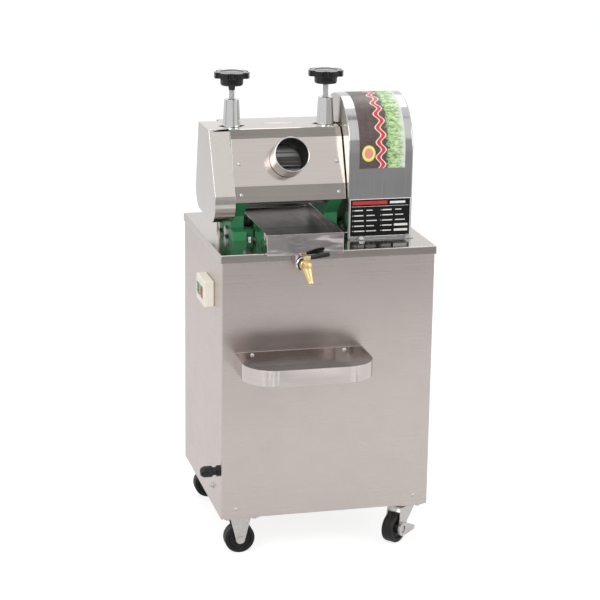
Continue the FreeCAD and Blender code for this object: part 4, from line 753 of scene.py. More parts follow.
CABINET = Steel("cabinet_brushed", ink(208, 198, 194), 0.30, Grain.LEVEL, contrast=0.035,
                depth=0.03, lay=0.35)
LID = Steel("lid_brushed", ink(190, 183, 178), 0.15, Grain.ALONG_X, contrast=0.06, depth=0.03,
            smudge=0.4, dust=0.04)
HOOD = Steel("hood_brushed", ink(200, 192, 186), 0.13, Grain.ALONG_X, contrast=0.05, depth=0.025,
             smudge=0.35, dust=0.06)
COVER = Steel("cover_brushed", ink(210, 204, 199), 0.16, Grain.ALONG_Z, contrast=0.05,
              depth=0.03, smudge=0.35, dust=0.06)
ARCH = Steel("arch_polished", ink(200, 199, 200), 0.13, Grain.ROUND_X, contrast=0.06, depth=0.02,
             wave=0.0016, wave_scale=6.0, smudge=0.35)
BAND = Steel("band_polished", ink(212, 205, 202), 0.07, Grain.LEVEL, contrast=0.05, depth=0.02,
             wave=0.0012, smudge=0.3)
SHELF = Steel("shelf_floor", ink(168, 165, 166), 0.13, Grain.ALONG_X, contrast=0.06, depth=0.03,
              smudge=0.5, dust=0.06)
TRAY = Steel("tray_polished", ink(196, 190, 188), 0.08, Grain.ALONG_X, contrast=0.05, depth=0.02,
             wave=0.0045, wave_scale=20.0, smudge=0.4)
PAN = Steel("tray_floor", ink(112, 105, 100), 0.36, Grain.ALONG_Y, contrast=0.10, depth=0.05,
            smudge=0.7, dust=0.03)
CHROME = Steel("chrome_plate", ink(226, 226, 226), 0.07, Grain.CAST, contrast=0.03, depth=0.01,
               smudge=0.3, dust=0.06, edge=0.0005)
TUBE = Steel("tube_polished", ink(208, 203, 200), 0.15, Grain.CAST, contrast=0.05, depth=0.02,
             smudge=0.4, edge=0.0006)
WELD = Steel("weld_bead", ink(176, 166, 158), 0.34, Grain.CAST, contrast=0.2, depth=0.3)
SCREW = Steel("screw_steel", ink(206, 202, 196), 0.20, Grain.CAST, contrast=0.10, depth=0.05)
ZINC = Steel("zinc_plate", ink(206, 204, 200), 0.34, Grain.CAST, contrast=0.14, depth=0.12,
             smudge=0.9, dust=0.25)
GEAR = Steel("ground_steel", ink(168, 164, 160), 0.30, Grain.ALONG_X, contrast=0.18, depth=0.10)
# Roller steel darkened: partly juice stain, partly painted shade for the dark inside of the hood
ROLLER_STAIN_AND_SHADE = Steel("roller_steel", ink(46, 42, 40), 0.50, Grain.ROUND_X, contrast=0.2, depth=0.1,
               smudge=0.8, dust=0.05)
# Dark steel as painted shade: the feed tube's inner wall, and a painted shadow line in its groove
TUBE_SHADE = Steel("tube_painted_shade", ink(50, 45, 42), 0.44, Grain.CAST, contrast=0.25, depth=0.1,
                smudge=0.9, dust=0.02)
IRON = Steel("pulley_iron", ink(110, 108, 106), 0.46, Grain.CAST, contrast=0.24, depth=0.3)
BRONZE = Steel("bush_bronze", ink(178, 138, 84), 0.32, Grain.ROUND_X, contrast=0.14)
BRASS = Steel("tap_brass", ink(214, 178, 112), 0.20, Grain.CAST, contrast=0.12, depth=0.05,
              smudge=0.5, edge=0.0008)
BACKING = Steel("rear_steel", ink(190, 184, 180), 0.34, Grain.LEVEL, smudge=0.5)

GREEN = Coating("green_casting", ink(96, 148, 106), 0.36, 0.35, 420.0, worn=ink(160, 172, 158),
                wear=0.5, dust=0.2, edge=0.0018, coat=0.25, lump=0.0007)
MOTOR = Coating("motor_grey", ink(98, 108, 112), 0.5, 0.3, 500.0, wear=0.3, lump=0.0005)
KNOB = Coating("knob_phenolic", ink(17, 17, 19), 0.13, 0.03, 1200.0, worn=ink(110, 110, 112),
               wear=0.3, dust=0.07, coat=0.2, shine=0.4)
DIPPED = Coating("dipped_vinyl", ink(26, 24, 26), 0.30, 0.12, 600.0, wear=0.12, dust=0.05,
                 shine=0.35)
CREAM = Coating("switch_cream", ink(243, 238, 221), 0.38, 0.10, 1100.0, 0.05,
                worn=ink(250, 248, 238), wear=0.3, dust=0.08)
START = Coating("start_green", ink(86, 150, 104), 0.30, 0.06, 1100.0, wear=0.15, dust=0.06)
STOP = Coating("stop_red", ink(196, 74, 58), 0.30, 0.06, 1100.0, wear=0.15, dust=0.06)
GLAND = Coating("gland_nylon", ink(22, 20, 20), 0.34, 0.10, 900.0, wear=0.15, dust=0.06,
                shine=0.3)
RUBBER = Coating("tyre_rubber", ink(22, 22, 23), 0.42, 0.30, 700.0, 0.2, worn=ink(96, 94, 92),
                 wear=0.35, dust=0.12, edge=0.0010, shine=0.3)
SEAL = Coating("seal_rubber", ink(26, 26, 26), 0.45, 0.15, 800.0, wear=0.1, dust=0.1)
BELT = Coating("belt_rubber", ink(34, 33, 33), 0.65, 0.4, 500.0, 0.2, wear=0.2)
PLATE_BLACK = Coating("plate_black", ink(20, 20, 22), 0.28, 0.03, 500.0, 0.06, wear=0.1,
                      dust=0.02, shine=0.25)
PLATE_WHITE = Coating("plate_white", ink(232, 231, 228), 0.40, 0.03, 500.0, 0.03, wear=0.0,
                      dust=0.05)
PLATE_RED = Coating("plate_red", ink(200, 42, 38), 0.36, 0.03, 500.0, 0.08, wear=0.0, dust=0.05)
LABEL = Coating("label_paper", ink(226, 214, 210), 0.42, 0.05, 700.0, 0.05, wear=0.0, dust=0.1)
LABEL_RING = Coating("label_ring", ink(214, 168, 162), 0.42, 0.05, 700.0, 0.08, wear=0.0,
                     dust=0.1)
FILM = PrintedFilm("printed_film")


# ---- sub-assemblies

@dataclass
class Assembly:
    """Where the head and the cabinet stand, for all that is hung on them."""

    head_x: float = -44.5
    head_y: float = 68.5
    lid: float = 664.0
    side: float = -208.5
    wall: float = 1.5
    screws: Flat = (-146.5, 57.5)
    hood_high: float = 228.5
    hood_front: tuple[Flat, ...] = ((-99.5, 85.0), (-91.5, 118.0), (-54.5, 211.5))

    def from_side(self, x: float) -> Matrix:
        """Returns the place of a side view that is drawn out from x to the right."""
        return Turn.SIDE.at(x, self.head_y, self.lid)

    def build(self) -> None:
        """Builds every piece of the assembly."""
        raise NotImplementedError


@dataclass
class Cabinet(Assembly):
    """The folded cabinet body and its lid."""

    right: float = 247.5
    front: float = -133.0
    back: float = 268.5
    low: float = 88.0
    high: float = 662.5
    lid_low: float = 647.0
    lid_out: float = 3.0
    fold: float = 2.5
    flange: float = 16.0
    belt_slot: tuple[Spot, Spot] = ((137, -31.5, 640), (164, 168.5, 680))

    def build(self) -> None:
        """Builds the body, and the lid as a tray turned over with the belt's slot."""
        line = [(self.right - self.flange, self.back), (self.right, self.back),
                (self.right, self.front), (self.side, self.front), (self.side, self.back),
                (self.side + self.flange, self.back)]
        body = folded(line, {k: self.fold for k in range(1, 5)}, self.high - self.low, self.wall)
        Shape().take(body, Turn.PLAN.at(z=self.low)).become(
            "cabinet_body", "cabinet_steel", [CABINET], "cabinet_shell")
        box = block((self.side - self.lid_out, self.front - self.lid_out, self.lid_low),
                    (self.right + self.lid_out, self.back + self.lid_out + self.wall, self.lid))
        uncover(box, lambda f: f.normal.z < -FACING)
        thicken(roll(box, [e for e in box.edges if len(e.link_faces) == 2], self.fold, 4),
                self.wall)
        Shape().take(box).cut((block(*self.belt_slot), HERE)).become(
            "cabinet_lid", "lid_steel", [LID], "top_lid")


@dataclass
class CupShelf(Assembly):
    """The shelf for cups: a flat floor inside a tall polished band."""

    left: float = -182.5
    right: float = 92.5
    front: float = -273.0
    back: float = -133.0
    low: float = 420.0
    high: float = 455.0
    corner: float = 65.0

    def build(self) -> None:
        """Builds the band with its floor."""
        line = [(self.left, self.back), (self.left, self.front), (self.right, self.front),
                (self.right, self.back)]
        pan = bend(slab(line, self.high - self.low), line, {1: self.corner, 2: self.corner})
        uncover(pan, lambda f: f.normal.z > FACING)
        for face in pan.faces:
            face.material_index = int(across(face))
        deburred = thicken(roll(pan, border(pan, across), 1.6, 3), self.wall)
        Shape().take(deburred, Turn.PLAN.at(z=self.low)).become(
            "cup_shelf_tray", "shelf_steel", [BAND, SHELF], "cup_shelf")


@dataclass
class Hood(Assembly):
    """The hood over the rollers: top sheet, front sheet and the feed tube."""

    left: float = -160.4
    right: float = 79.5
    tube_spot: Spot = (-42.5, 4.10, 828.75)
    tube_along: Spot = (0.0, -0.9135, 0.4067)
    tube_length: float = 56.0
    tube_radius: float = 38.0
    tube_wall: float = 2.0
    groove: Flat = (8.4, 11.2)

    def build(self) -> None:
        """Builds the two sheets, the tube and the label."""
        foot, knee, brow = self.hood_front
        roof = [(88, 188.5), (88, self.hood_high), (-40.5, self.hood_high), brow]
        sleeves = [diamond(x, self.head_y, self.lid + self.hood_high) for x in self.screws]
        bore = [(rod(self.tube_radius + 0.1, -60, 60, 64), aimed(self.tube_spot, self.tube_along))]
        for name, node, line, radii, cutters in (
                ("hood_top", "top_cover", roof, {1: 2.2, 2: 2.0}, sleeves),
                ("hood_front", "front_cover", [brow, knee, foot], {1: 6.0}, bore)):
            sheet = folded(line, radii, self.right - self.left, self.wall)
            cover = Shape().take(sheet, self.from_side(self.left))
            cover.cut(*cutters).become(name, "hood_steel", [HOOD], node)
        self.build_tube()
        self.build_label()

    def build_tube(self) -> None:
        """Builds the feed tube with a rolled rim, a groove and its rippled weld bead; the inner
        wall and the groove get painted shade.
        """
        r, w, top, (low, high) = self.tube_radius, self.tube_wall, self.tube_length, self.groove
        tube = lathe([(r, -16), (r, low), (r - 1.3, low + 0.4), (r - 1.3, high - 0.4), (r, high),
                      (r, top - 1.6), (r - 0.4, top - 0.5), (r - 1.2, top), (r - 2.4, top - 0.3),
                      (r - 2.9, top - 1.4), (r - 2.7, top - 3.0), (r - w, top - 4.4),
                      (r - w, -16)], 96)
        # Inner wall and groove faces take the dark finish: painted shade inside the tube, and a
        # painted shadow line in the groove
        for face in tube.faces:
            middle = face.calc_center_median()
            out = middle.xy.length
            face.material_index = int((out < r - w + 0.2 and middle.z < top - 5)
                                      or (out < r - 0.5 and low < middle.z < high))
        at = aimed(self.tube_spot, self.tube_along)
        Shape().take(tube, at).become("feed_tube_welded", "hood_steel", [TUBE, TUBE_SHADE],
                                      "feed_tube")
        bead = lathe([(r - 0.4, -1.2), (r + 1.5, -1.4), (r + 2.1, 0.6), (r + 1.2, 2.4),
                      (r - 0.4, 3.0)], 96)
        for vert in bead.verts:
            if vert.co.xy.length > r:
                swing = math.sin(math.atan2(vert.co.y, vert.co.x) * 58.0) * 0.22
                vert.co.xy *= 1 + swing / vert.co.xy.length
        Shape().take(bead, at).become("feed_tube_bead", "hood_steel", [WELD])

    def build_label(self) -> None:
        """Builds the pale oval label, with its rim, on the hood's top."""
        label = bmesh.new()
        bmesh.ops.create_circle(label, cap_ends=True, segments=64, radius=1.0)
        bmesh.ops.scale(label, vec=(34.0, 12.5, 1), verts=label.verts)
        bmesh.ops.inset_region(label, faces=label.faces[:], thickness=2.2, depth=0.0)
        core = max(label.faces, key=lambda f: f.calc_area())
        for face in label.faces:
            face.material_index = int(face != core)
        bmesh.ops.solidify(label, geom=label.faces[:], thickness=0.15)
        label.normal_update()
        at = Turn.PLAN.at(-41.4, 86.5, self.lid + self.hood_high + 1.65)
        Shape().take(outward(label), at).become("hood_label", "hood_steel", [LABEL, LABEL_RING])


@dataclass
class PressureScrews(Assembly):
    """Sleeves, threaded screws and star knobs over the two frames."""

    base: float = 892.5
    top: float = 952.5
    screw_low: float = 856.0
    knob_low: float = 980.5
    knob_hub: float = 16.0
    knob_disc: float = 12.5
    lobes: int = 7
    pitch: float = 1.5
    turns: int = 32

    def build(self) -> None:
        """Builds the sleeves and both screw sets."""
        sleeves = Shape()
        high = self.top - self.base
        for x in self.screws:
            sleeves.spin([(6.1, 0), (18.2, 0), (19.0, 0.8), (15.7, high - 1.6), (14.6, high - 0.4),
                          (13.9, high), (8.6, high), (6.1, high - 2.2)], 64,
                         Turn.PLAN.at(x, self.head_y, self.base))
        sleeves.become("tapered_sleeves", "polished_steel", [CHROME], "screw_sleeves")
        for name, x in zip(("left", "right"), self.screws):
            self.build_screw(name, x)
            self.build_knob(name, x)

    def build_screw(self, name: str, x: float) -> None:
        """Builds a screw with a rolled thread above its plain foot.

        Args:
            name: Which side it is on.
            x: Its place across the machine.
        """
        screw = Shape().spin([(0, 0), (4.6, 0), (5.2, 1.0), (5.2, 46), (5.45, 47), (5.45, 139.9),
                              (4.9, 140.4), (0, 140.4)], 40,
                             Turn.PLAN.at(x, self.head_y, self.screw_low))
        thread, steps = bmesh.new(), 28
        spots = [thread.verts.new(p) for p in ((5.3, 0, -0.62), (6.0, 0, -0.1), (6.0, 0, 0.1),
                                               (5.3, 0, 0.62))]
        edges = [thread.edges.new(pair) for pair in zip(spots, spots[1:] + spots[:1])]
        bmesh.ops.spin(thread, geom=spots + edges, cent=(0, 0, 0), axis=(0, 0, 1),
                       dvec=(0, 0, self.pitch / steps), angle=math.tau * self.turns,
                       steps=steps * self.turns, use_merge=False, use_duplicate=False)
        bmesh.ops.holes_fill(thread, edges=[e for e in thread.edges if e.is_boundary], sides=4)
        screw.take(outward(thread), Turn.PLAN.at(x, self.head_y, self.top - 19.3))
        screw.become(f"{name}_threaded_screw", "screw_steel", [SCREW], f"{name}_pressure_screw",
                     body=f"{name}_screw", smooth=40.0)

    def build_knob(self, name: str, x: float) -> None:
        """Builds a star knob with a pressed cap in a shallow recess.

        Args:
            name: Which side it is on.
            x: Its place across the machine.
        """
        high, low = self.knob_disc, -self.knob_hub
        disc = Shape().take(rod(37.5, 0, high, 140))
        disc.cut(*((rod(9, -1, high + 1, 48),
                    Matrix.Rotation(math.tau * k / self.lobes, 4, "Z") @
                    Matrix.Translation((40.5, 0, 0))) for k in range(self.lobes)))
        roll(disc.mesh, creases(disc.mesh, 40), 1.6, 4)
        disc.cut((lathe([(0, high - 1.6), (23.5, high - 1.6), (24.8, high + 1), (0, high + 1)], 72),
                  HERE))
        at = Turn.PLAN.at(x, self.head_y, self.knob_low + self.knob_hub)
        grip = Shape().take(disc.mesh, at)
        grip.spin([(5.6, low), (20.8, low), (22.8, low + 0.6), (23.9, low + 2.4), (24.3, low + 5),
                   (24.5, 0.6), (5.6, 0.6)], 72, at)
        grip.spin([(0, high - 1.9), (22.2, high - 1.9), (22.2, high - 1.1), (21.4, high - 0.6),
                   (14.0, high - 0.2), (0, high)], 72, at)
        if name == "left":
            grip.spin([(5.6, low - 9.5), (6.6, low - 9.5), (7.6, low - 1.5), (8.2, low + 0.4),
                       (5.6, low + 0.4)], 40, at)
        grip.become(f"{name}_star_grip", "knob_plastic", [KNOB], f"{name}_star_knob",
                    body=f"{name}_screw")


@dataclass
class GearCover(Assembly):
    """The cover over the roller gears on the left, open below."""

    left: float = -204.5
    right: float = -162.0
    foot: float = 42.0
    curve: float = 47.7

    def build(self) -> None:
        """Builds the cheek and the bent wall as one welded sheet."""
        line = [(60, self.foot), (93.6, 49.7), (97, 84), (66, self.hood_high),
                (-38, self.hood_high), (-107, 101), (-119.9, 56.6), (-76, self.foot)]
        sheet = bend(slab(line, self.right - self.left), line,
                     {1: self.curve, 3: 3.0, 4: 3.0, 6: self.curve})
        uncover(sheet, lambda f: f.normal.z > FACING
                or f.calc_center_median().y < self.foot + 0.05)
        roll(sheet, border(sheet, across), 2.2, 4)
        bmesh.ops.delete(sheet, geom=[v for v in sheet.verts if not v.link_faces], context="VERTS")
        cover = Shape().take(thicken(sheet, self.wall, inward=False),
                             self.from_side(self.left + self.wall))
        cover.cut(diamond(self.screws[0], self.head_y, self.lid + self.hood_high),
                  (slab([(0, -3), (41, 6), (41, -3)], 30),
                   Turn.PLAN.at(self.left + 5.0, 30.6, self.lid + 216)))
        cover.become("gear_side_cover", "cabinet_steel", [COVER], "left_gear_cover")


@dataclass
class DriveCover(Assembly):
    """The arched cover over the drive, with its printed film and its plate."""

    left: float = 81.5
    right: float = 222.5
    radius: float = 112.0
    spring: float = 183.0
    flange: float = 15.0
    shaft_hole: Flat = (68.5, 830.0)
    film_low: float = 815.0
    film_wide: float = 100.0
    film_long: float = 260.0
    film_sweep: float = 112.0
    plate_wide: float = 134.0
    plate_high: float = 82.0

    def build(self) -> None:
        """Builds the arch, its flanges, its film and its plate."""
        r, top = self.radius, self.spring + self.radius
        line = [(-r, 0), (-r, top), (r, top), (r, 0)]
        arch = bend(slab(line, self.right - self.left), line, {1: r - 0.005, 2: r - 0.005})
        uncover(arch, lambda f: f.calc_center_median().y < 0.05)
        for face in arch.faces:
            face.material_index = int(across(face))
        for sign, reach in ((-1, 2.0), (1, 4.0)):
            roll(arch, border(arch, lambda f: f.normal.z * sign > FACING), reach, 4)
        cover = Shape().take(thicken(arch, self.wall), self.from_side(self.left))
        cover.cut((rod(19, -9, 9, 56), aimed((self.left, *self.shaft_hole), (1, 0, 0))))
        for near, far in ((-r - self.flange, 0.8 - r), (r - 0.8, r + self.flange)):
            cover.take(block((self.left, self.head_y + near, self.lid),
                             (self.right, self.head_y + far, self.lid + self.wall), 0.4, 2))
        cover.become("drive_arch", "cabinet_steel", [ARCH, COVER], "drive_cover")
        self.build_film()
        self.build_plate()

    def build_film(self) -> None:
        """Builds the printed film that follows the arch from its front over the top."""
        film, reach = bmesh.new(), self.radius + 0.3
        rise = self.lid + self.spring - self.film_low
        foot, start = (film.verts.new((0, -reach, z)) for z in (-rise, 0))
        straight = film.edges.new((foot, start))
        bmesh.ops.spin(film, geom=[start], cent=(0, 0, 0), axis=(-1, 0, 0), dvec=(0, 0, 0),
                       angle=math.radians(self.film_sweep), steps=44, use_merge=False,
                       use_duplicate=False)
        bmesh.ops.subdivide_edges(film, edges=[straight], cuts=5)
        bmesh.ops.remove_doubles(film, verts=film.verts, dist=0.001)
        moved(film, bmesh.ops.extrude_edge_only(film, edges=film.edges[:]),
              (self.film_wide, 0, 0))
        bmesh.ops.recalc_face_normals(film, faces=film.faces)
        film.normal_update()
        if sum(f.normal.y for f in film.faces) > 0:
            bmesh.ops.reverse_faces(film, faces=film.faces)
        layer = film.loops.layers.uv.new("print")
        for loop in (loop for face in film.faces for loop in face.loops):
            spot = loop.vert.co
            turn = math.atan2(spot.z, -spot.y) if spot.z > 0 else 0.0
            along = rise + min(spot.z, 0.0) + turn * reach
            loop[layer].uv = (spot.x / self.film_wide, along / self.film_long)
        bmesh.ops.solidify(film, geom=film.faces[:], thickness=0.25)
        Shape().take(film, Turn.PLAN.at(104.0, self.head_y, self.lid + self.spring)).become(
            "arch_film", "cabinet_steel", [FILM])

    def build_plate(self) -> None:
        """Builds the rating plate: black with a white border, a red bar and blank fields."""
        wide, high, black, white, red, print_high = self.plate_wide, self.plate_high, 0, 1, 2, 0.5
        bars = [(1.6, 1.6, wide - 1.6, high - 1.6, black, 0.42),
                (6.0, 69.5, 82.0, 77.0, red, print_high),
                (88.0, 70.5, 122.0, 75.5, white, print_high),
                (4.0, 65.2, wide - 5.0, 65.9, white, print_high)]
        for row in range(5):
            y = 56.0 - row * 11.2
            last = ((100.0, 0.2, 114.0 + (row * 4) % 9, 2.2) if row < 3
                    else (98.0, -1.0, 128.0, 4.0))
            bars += [(left, y + low, right, y + top, white, print_high)
                     for left, low, right, top in (
                         (6.0, 0.4, 8.0, 2.0), (10.0, 0.0, 29.0 + (row * 7) % 6, 2.4),
                         (37.0, 0.2, 50.0 + (row * 5) % 11, 2.2), (68.0, 0.4, 70.0, 2.0),
                         (72.0, 0.0, 92.0 + (row * 3) % 4, 2.4), last)]
        at = Turn.FRONT.at(self.left + 3.5, self.head_y - self.radius - 0.05, self.lid + 4.0)
        plate = Shape().take(block((0, 0, 0), (wide, high, 0.35), 0.15, 2), at, white)
        for left, low, right, top, finish, depth in bars:
            plate.take(block((left, low, 0), (right, top, depth), 0.05, 1), at, finish)
        plate.become("rating_plate", "cabinet_steel", [PLATE_BLACK, PLATE_WHITE, PLATE_RED])


@dataclass
class JuiceTray(Assembly):
    """The juice tray with its outlet and tap."""

    left: float = -120.5
    right: float = 41.5
    front: float = -228.0
    high: float = 44.0
    outlet: Flat = (-51.5, -145.5)
    tap_height: float = 645.0
    spout_lean: float = 30.0
    tap_turn: float = 20.0
    tap_reach: float = 31.0
    lever_turn: float = -8.0
    lever_lift: float = 10.0

    def build(self) -> None:
        """Builds the tray, the tap and its lever."""
        self.build_pan()
        self.build_tap()
        self.build_lever()

    @property
    def ahead(self) -> Spot:
        """The way the tap points."""
        turn = math.radians(self.tap_turn)
        return math.sin(turn), -math.cos(turn), 0

    @property
    def out(self) -> Matrix:
        """The place of the tap's barrel, seen along it."""
        return aimed((*self.outlet, self.tap_height), self.ahead)

    def along(self, lift: float) -> Spot:
        """Returns a place over the tap's plug, in millimetres."""
        return (self.outlet[0] + self.ahead[0] * self.tap_reach,
                self.outlet[1] + self.ahead[1] * self.tap_reach, self.tap_height + lift)

    def build_pan(self) -> None:
        """Builds the pan with its skirt, floor, lip and outlet."""
        line = [(84, self.high), (84, 30), (-96, 25.4), (-96, 0.3), (self.front, 0.3),
                (self.front, self.high)]
        walls = bend(slab(line, self.right - self.left), line, {1: 2.5, 2: 2.5})
        uncover(walls, lambda f: f.calc_center_median().y > self.high - 0.1
                or (f.calc_center_median().y < 0.4 and f.normal.y < -FACING))
        rim = border(walls, across)
        folds = [e for e in walls.edges if len(e.link_faces) == 2 and e not in rim
                 and e.calc_face_angle(0.0) > 1.2]
        thicken(roll(walls, rim + folds, 2.0, 3), self.wall)
        for face in walls.faces:
            face.material_index = int(face.normal.y > FACING
                                      and 20.0 < face.calc_center_median().y < 33.0)
        floor = slab([(82.6, 29.8), (82.6, 31.2), (-226.6, 23.3), (-226.6, 21.8)],
                     self.right - self.left - 2.8)
        tray = Shape()
        for sheet, inset, finish in ((walls, 0.0, 0), (soften(floor, 0.3, 40.0, 1), 1.4, 1)):
            bored = Shape().take(sheet, self.from_side(self.left + inset))
            bored.cut((rod(6.0, -30, 60, 40), Turn.PLAN.at(*self.outlet, self.lid)))
            tray.take(bored.mesh, finish=finish)
        lip = soften(slab([(0, 0), (8, 0), (0, 148)], self.wall), 0.35, 40.0, 2)
        tray.take(lip, Turn.PLAN.at(self.right - 0.05, self.head_y + self.front, self.lid + 42.5))
        pipe = lathe([(0, 0), (8.0, 0), (8.0, 50), (6.0, 50), (6.0, 2), (0, 2)], 40)
        tray.take(soften(pipe, 0.6, 60.0, 2), Turn.PLAN.at(*self.outlet, self.lid - 27.0))
        tray.spin([(7.6, 0), (10.0, 0), (9.4, -1.4), (7.6, -2.2)], 40,
                  Turn.PLAN.at(*self.outlet, self.lid + 21.9))
        tray.spin([(5.4, 4), (7.2, 4), (7.2, 9.6), (5.4, 9.6)], 40, self.out)
        tray.become("juice_pan", "polished_steel", [TRAY, PAN], "juice_tray", body="tray")

    def build_tap(self) -> None:
        """Builds the collar, the sealing ring, the brass body and the spout."""
        brass, chrome, seal = 0, 1, 2
        tap = Shape()
        tap.spin([(7.4, 9.8), (13.4, 9.8), (14.5, 10.9), (14.5, 14.6), (13.2, 16.2), (10.8, 16.8),
                  (7.4, 16.8)], 56, self.out, chrome)
        tap.spin([(7.4, 16.7), (11.8, 16.7), (12.5, 17.5), (12.5, 18.4), (11.8, 19.2),
                  (7.4, 19.2)], 48, self.out, seal)
        tap.spin([(5.0, 19.0), (9.6, 19.0), (11.0, 20.2), (11.0, 24.6), (9.8, 25.8), (9.6, 34.0),
                  (9.6, 37.0), (8.6, 40.2), (5.6, 42.4), (0, 43.0), (0, 19.6), (4.2, 19.4)], 56,
                 self.out, brass)
        tap.take(prism(19.5, 8.0, 0.8), self.out @ Matrix.Translation((0, 0, 26.8)))
        tap.spin([(0, 0), (7.5, 0), (7.5, 2.6), (6.6, 3.4), (6.6, 10.6), (6.0, 11.4), (0, 11.4)],
                 44, Turn.PLAN.at(*self.along(0.0)))
        lean = math.radians(self.spout_lean)
        down = (self.ahead[0] * math.sin(lean), self.ahead[1] * math.sin(lean), -math.cos(lean))
        tap.spin([(9.0, -2.0), (11.2, 0.4), (10.6, 6.0), (6.5, 29.0), (6.6, 32.4), (6.1, 34.7),
                  (5.2, 35.0), (4.7, 33.8), (4.7, 2.0)], 56, aimed(self.along(-5.5), down))
        tap.become("tap_valve", "tap_brass", [BRASS, CHROME, SEAL], "tap_body", body="tray")

    def build_lever(self) -> None:
        """Builds the lever with its cap, screw and dipped sleeve."""
        screw, sleeve = 1, 2
        lever = Shape().spin([(0, 0), (7.1, 0), (7.5, 0.5), (7.5, 5.8), (6.6, 6.8), (3.6, 7.0),
                              (3.6, 6.4), (0, 6.4)], 48, Turn.PLAN.at(*self.along(12.3)))
        head = Shape().spin([(0, 0), (3.1, 0), (3.2, 1.0), (2.2, 1.8), (0, 2.0)], 32)
        head.cut((block((-4, -0.4, 1.0), (4, 0.4, 3)), HERE))
        lever.take(head.mesh, Turn.PLAN.at(*self.along(18.5)), screw)
        turn, lift = math.radians(self.lever_turn), math.radians(self.lever_lift)
        along = (math.cos(turn) * math.cos(lift), math.sin(turn) * math.cos(lift), math.sin(lift))
        start = aimed(self.along(15.8), along)
        lever.take(rod(3.5, 3, 12.4, 32), start)
        lever.spin([(0, 7.9), (4.0, 7.9), (4.5, 8.5), (4.5, 10), (4.15, 11), (4.7, 13.5),
                    (5.0, 28), (5.0, 44.0), (4.5, 46.4), (3.0, 47.8), (0, 48.0)], 48, start, sleeve)
        lever.become("tap_handle_lever", "tap_brass", [BRASS, SCREW, DIPPED], "tap_lever",
                     body="tap_handle")


@dataclass
class Controls(Assembly):
    """The switch box, the cable gland and the earth terminal on the left side."""

    keys: tuple[tuple[str, float, Finish], ...] = (("start", -13.0, START), ("stop", -45.0, STOP))
    key_wide: float = 28.0
    well: Flat = (549.5, 574.5)
    gland_at: Flat = (-121.5, 194.0)
    earth_at: Flat = (-46.5, 134.0)

    def build(self) -> None:
        """Builds every part on the left side."""
        self.build_switch()
        self.build_gland(aimed((self.side, *self.gland_at), (-1, 0, 0)))
        self.build_earth(aimed((self.side, *self.earth_at), (-1, 0, 0)))

    def build_switch(self) -> None:
        """Builds the box with its two wells, and its two buttons."""
        wide, (low, high) = self.key_wide, self.well
        box = Shape().take(block((-230.5, -56.5, 534.0), (self.side, 26.5, 590.0), 3.0, 4))
        box.cut(*((block((-236, y, low), (-216.5, y + wide, high), 1.2, 3), HERE)
                  for _, y, _ in self.keys))
        for _, y, _ in self.keys:
            ring = Shape().take(block((-230.9, y - 2.4, low - 2.4),
                                      (-229.7, y + wide + 2.4, high + 2.4), 0.5, 2))
            ring.cut((block((-236, y, low), (-210, y + wide, high), 1.0, 2), HERE))
            box.take(ring.mesh)
        box.become("switch_case", "switch_plastic", [CREAM], "switch_box")
        for name, y, finish in self.keys:
            push = Shape().take(block((-229.5, y + 0.3, low + 0.3),
                                      (-220.5, y + wide - 0.3, high - 0.3), 1.6, 4))
            push.cut((lathe([(0, 0), (7.2, 0), (8.4, 1.2), (0, 1.2)], 48),
                      aimed((-228.9, y + wide / 2, (low + high) / 2), (-1, 0, 0))))
            push.become(f"{name}_key", finish.name, [finish], f"{name}_button",
                        body=f"{name}_switch")

    def build_gland(self, out: Matrix) -> None:
        """Builds the gland, pointing out: flange nut, threaded neck and ribbed cap."""
        gland = Shape().take(prism(22.0, 9.0, 0.9), out)
        gland.spin([(4.5, 8), (8.6, 8), (8.6, 19), (4.5, 19)], 40, out)
        for low in (9.4 + number * 1.7 for number in range(5)):
            gland.spin([(8.2, low), (9.0, low + 0.45), (9.0, low + 0.75), (8.2, low + 1.2)], 40,
                       out)
        cap = Shape().spin([(4.6, 17.4), (10.4, 17.4), (11.4, 18.4), (11.4, 34.6), (10.4, 38.4),
                            (8.6, 41.0), (8.2, 42.0), (4.8, 42.0)], 60)
        ring_of(block((-0.6, -0.55, 18.2), (0.7, 0.55, 36.0), 0.3, 2), 18, 11.3, cap)
        gland.take(cap.mesh, out)
        gland.spin([(4.4, 24), (6.9, 24), (6.9, 39.0), (4.4, 41.0)], 40, out)
        gland.become("cable_gland_body", "gland_plastic", [GLAND], "cable_gland", smooth=36.0)

    def build_earth(self, out: Matrix) -> None:
        """Builds the earth screw, pointing out, with its washer, nut and thread end."""
        washer = soften(lathe([(2.6, 0), (7.0, 0), (7.0, 1.5), (2.6, 1.5)], 48), 0.3)
        earth = Shape().take(washer, out)
        earth.spin([(2.6, 1.4), (5.6, 1.4), (5.8, 1.9), (5.4, 2.7), (2.6, 2.7)], 40, out)
        earth.take(prism(8.0, 4.0, 0.5), out @ Matrix.Translation((0, 0, 2.6)))
        earth.spin([(0, 1), (2.5, 1), (2.5, 8.2), (1.8, 9.0), (0, 9.0)], 32, out)
        earth.become("earth_screw", "screw_steel", [SCREW], "earth_terminal")


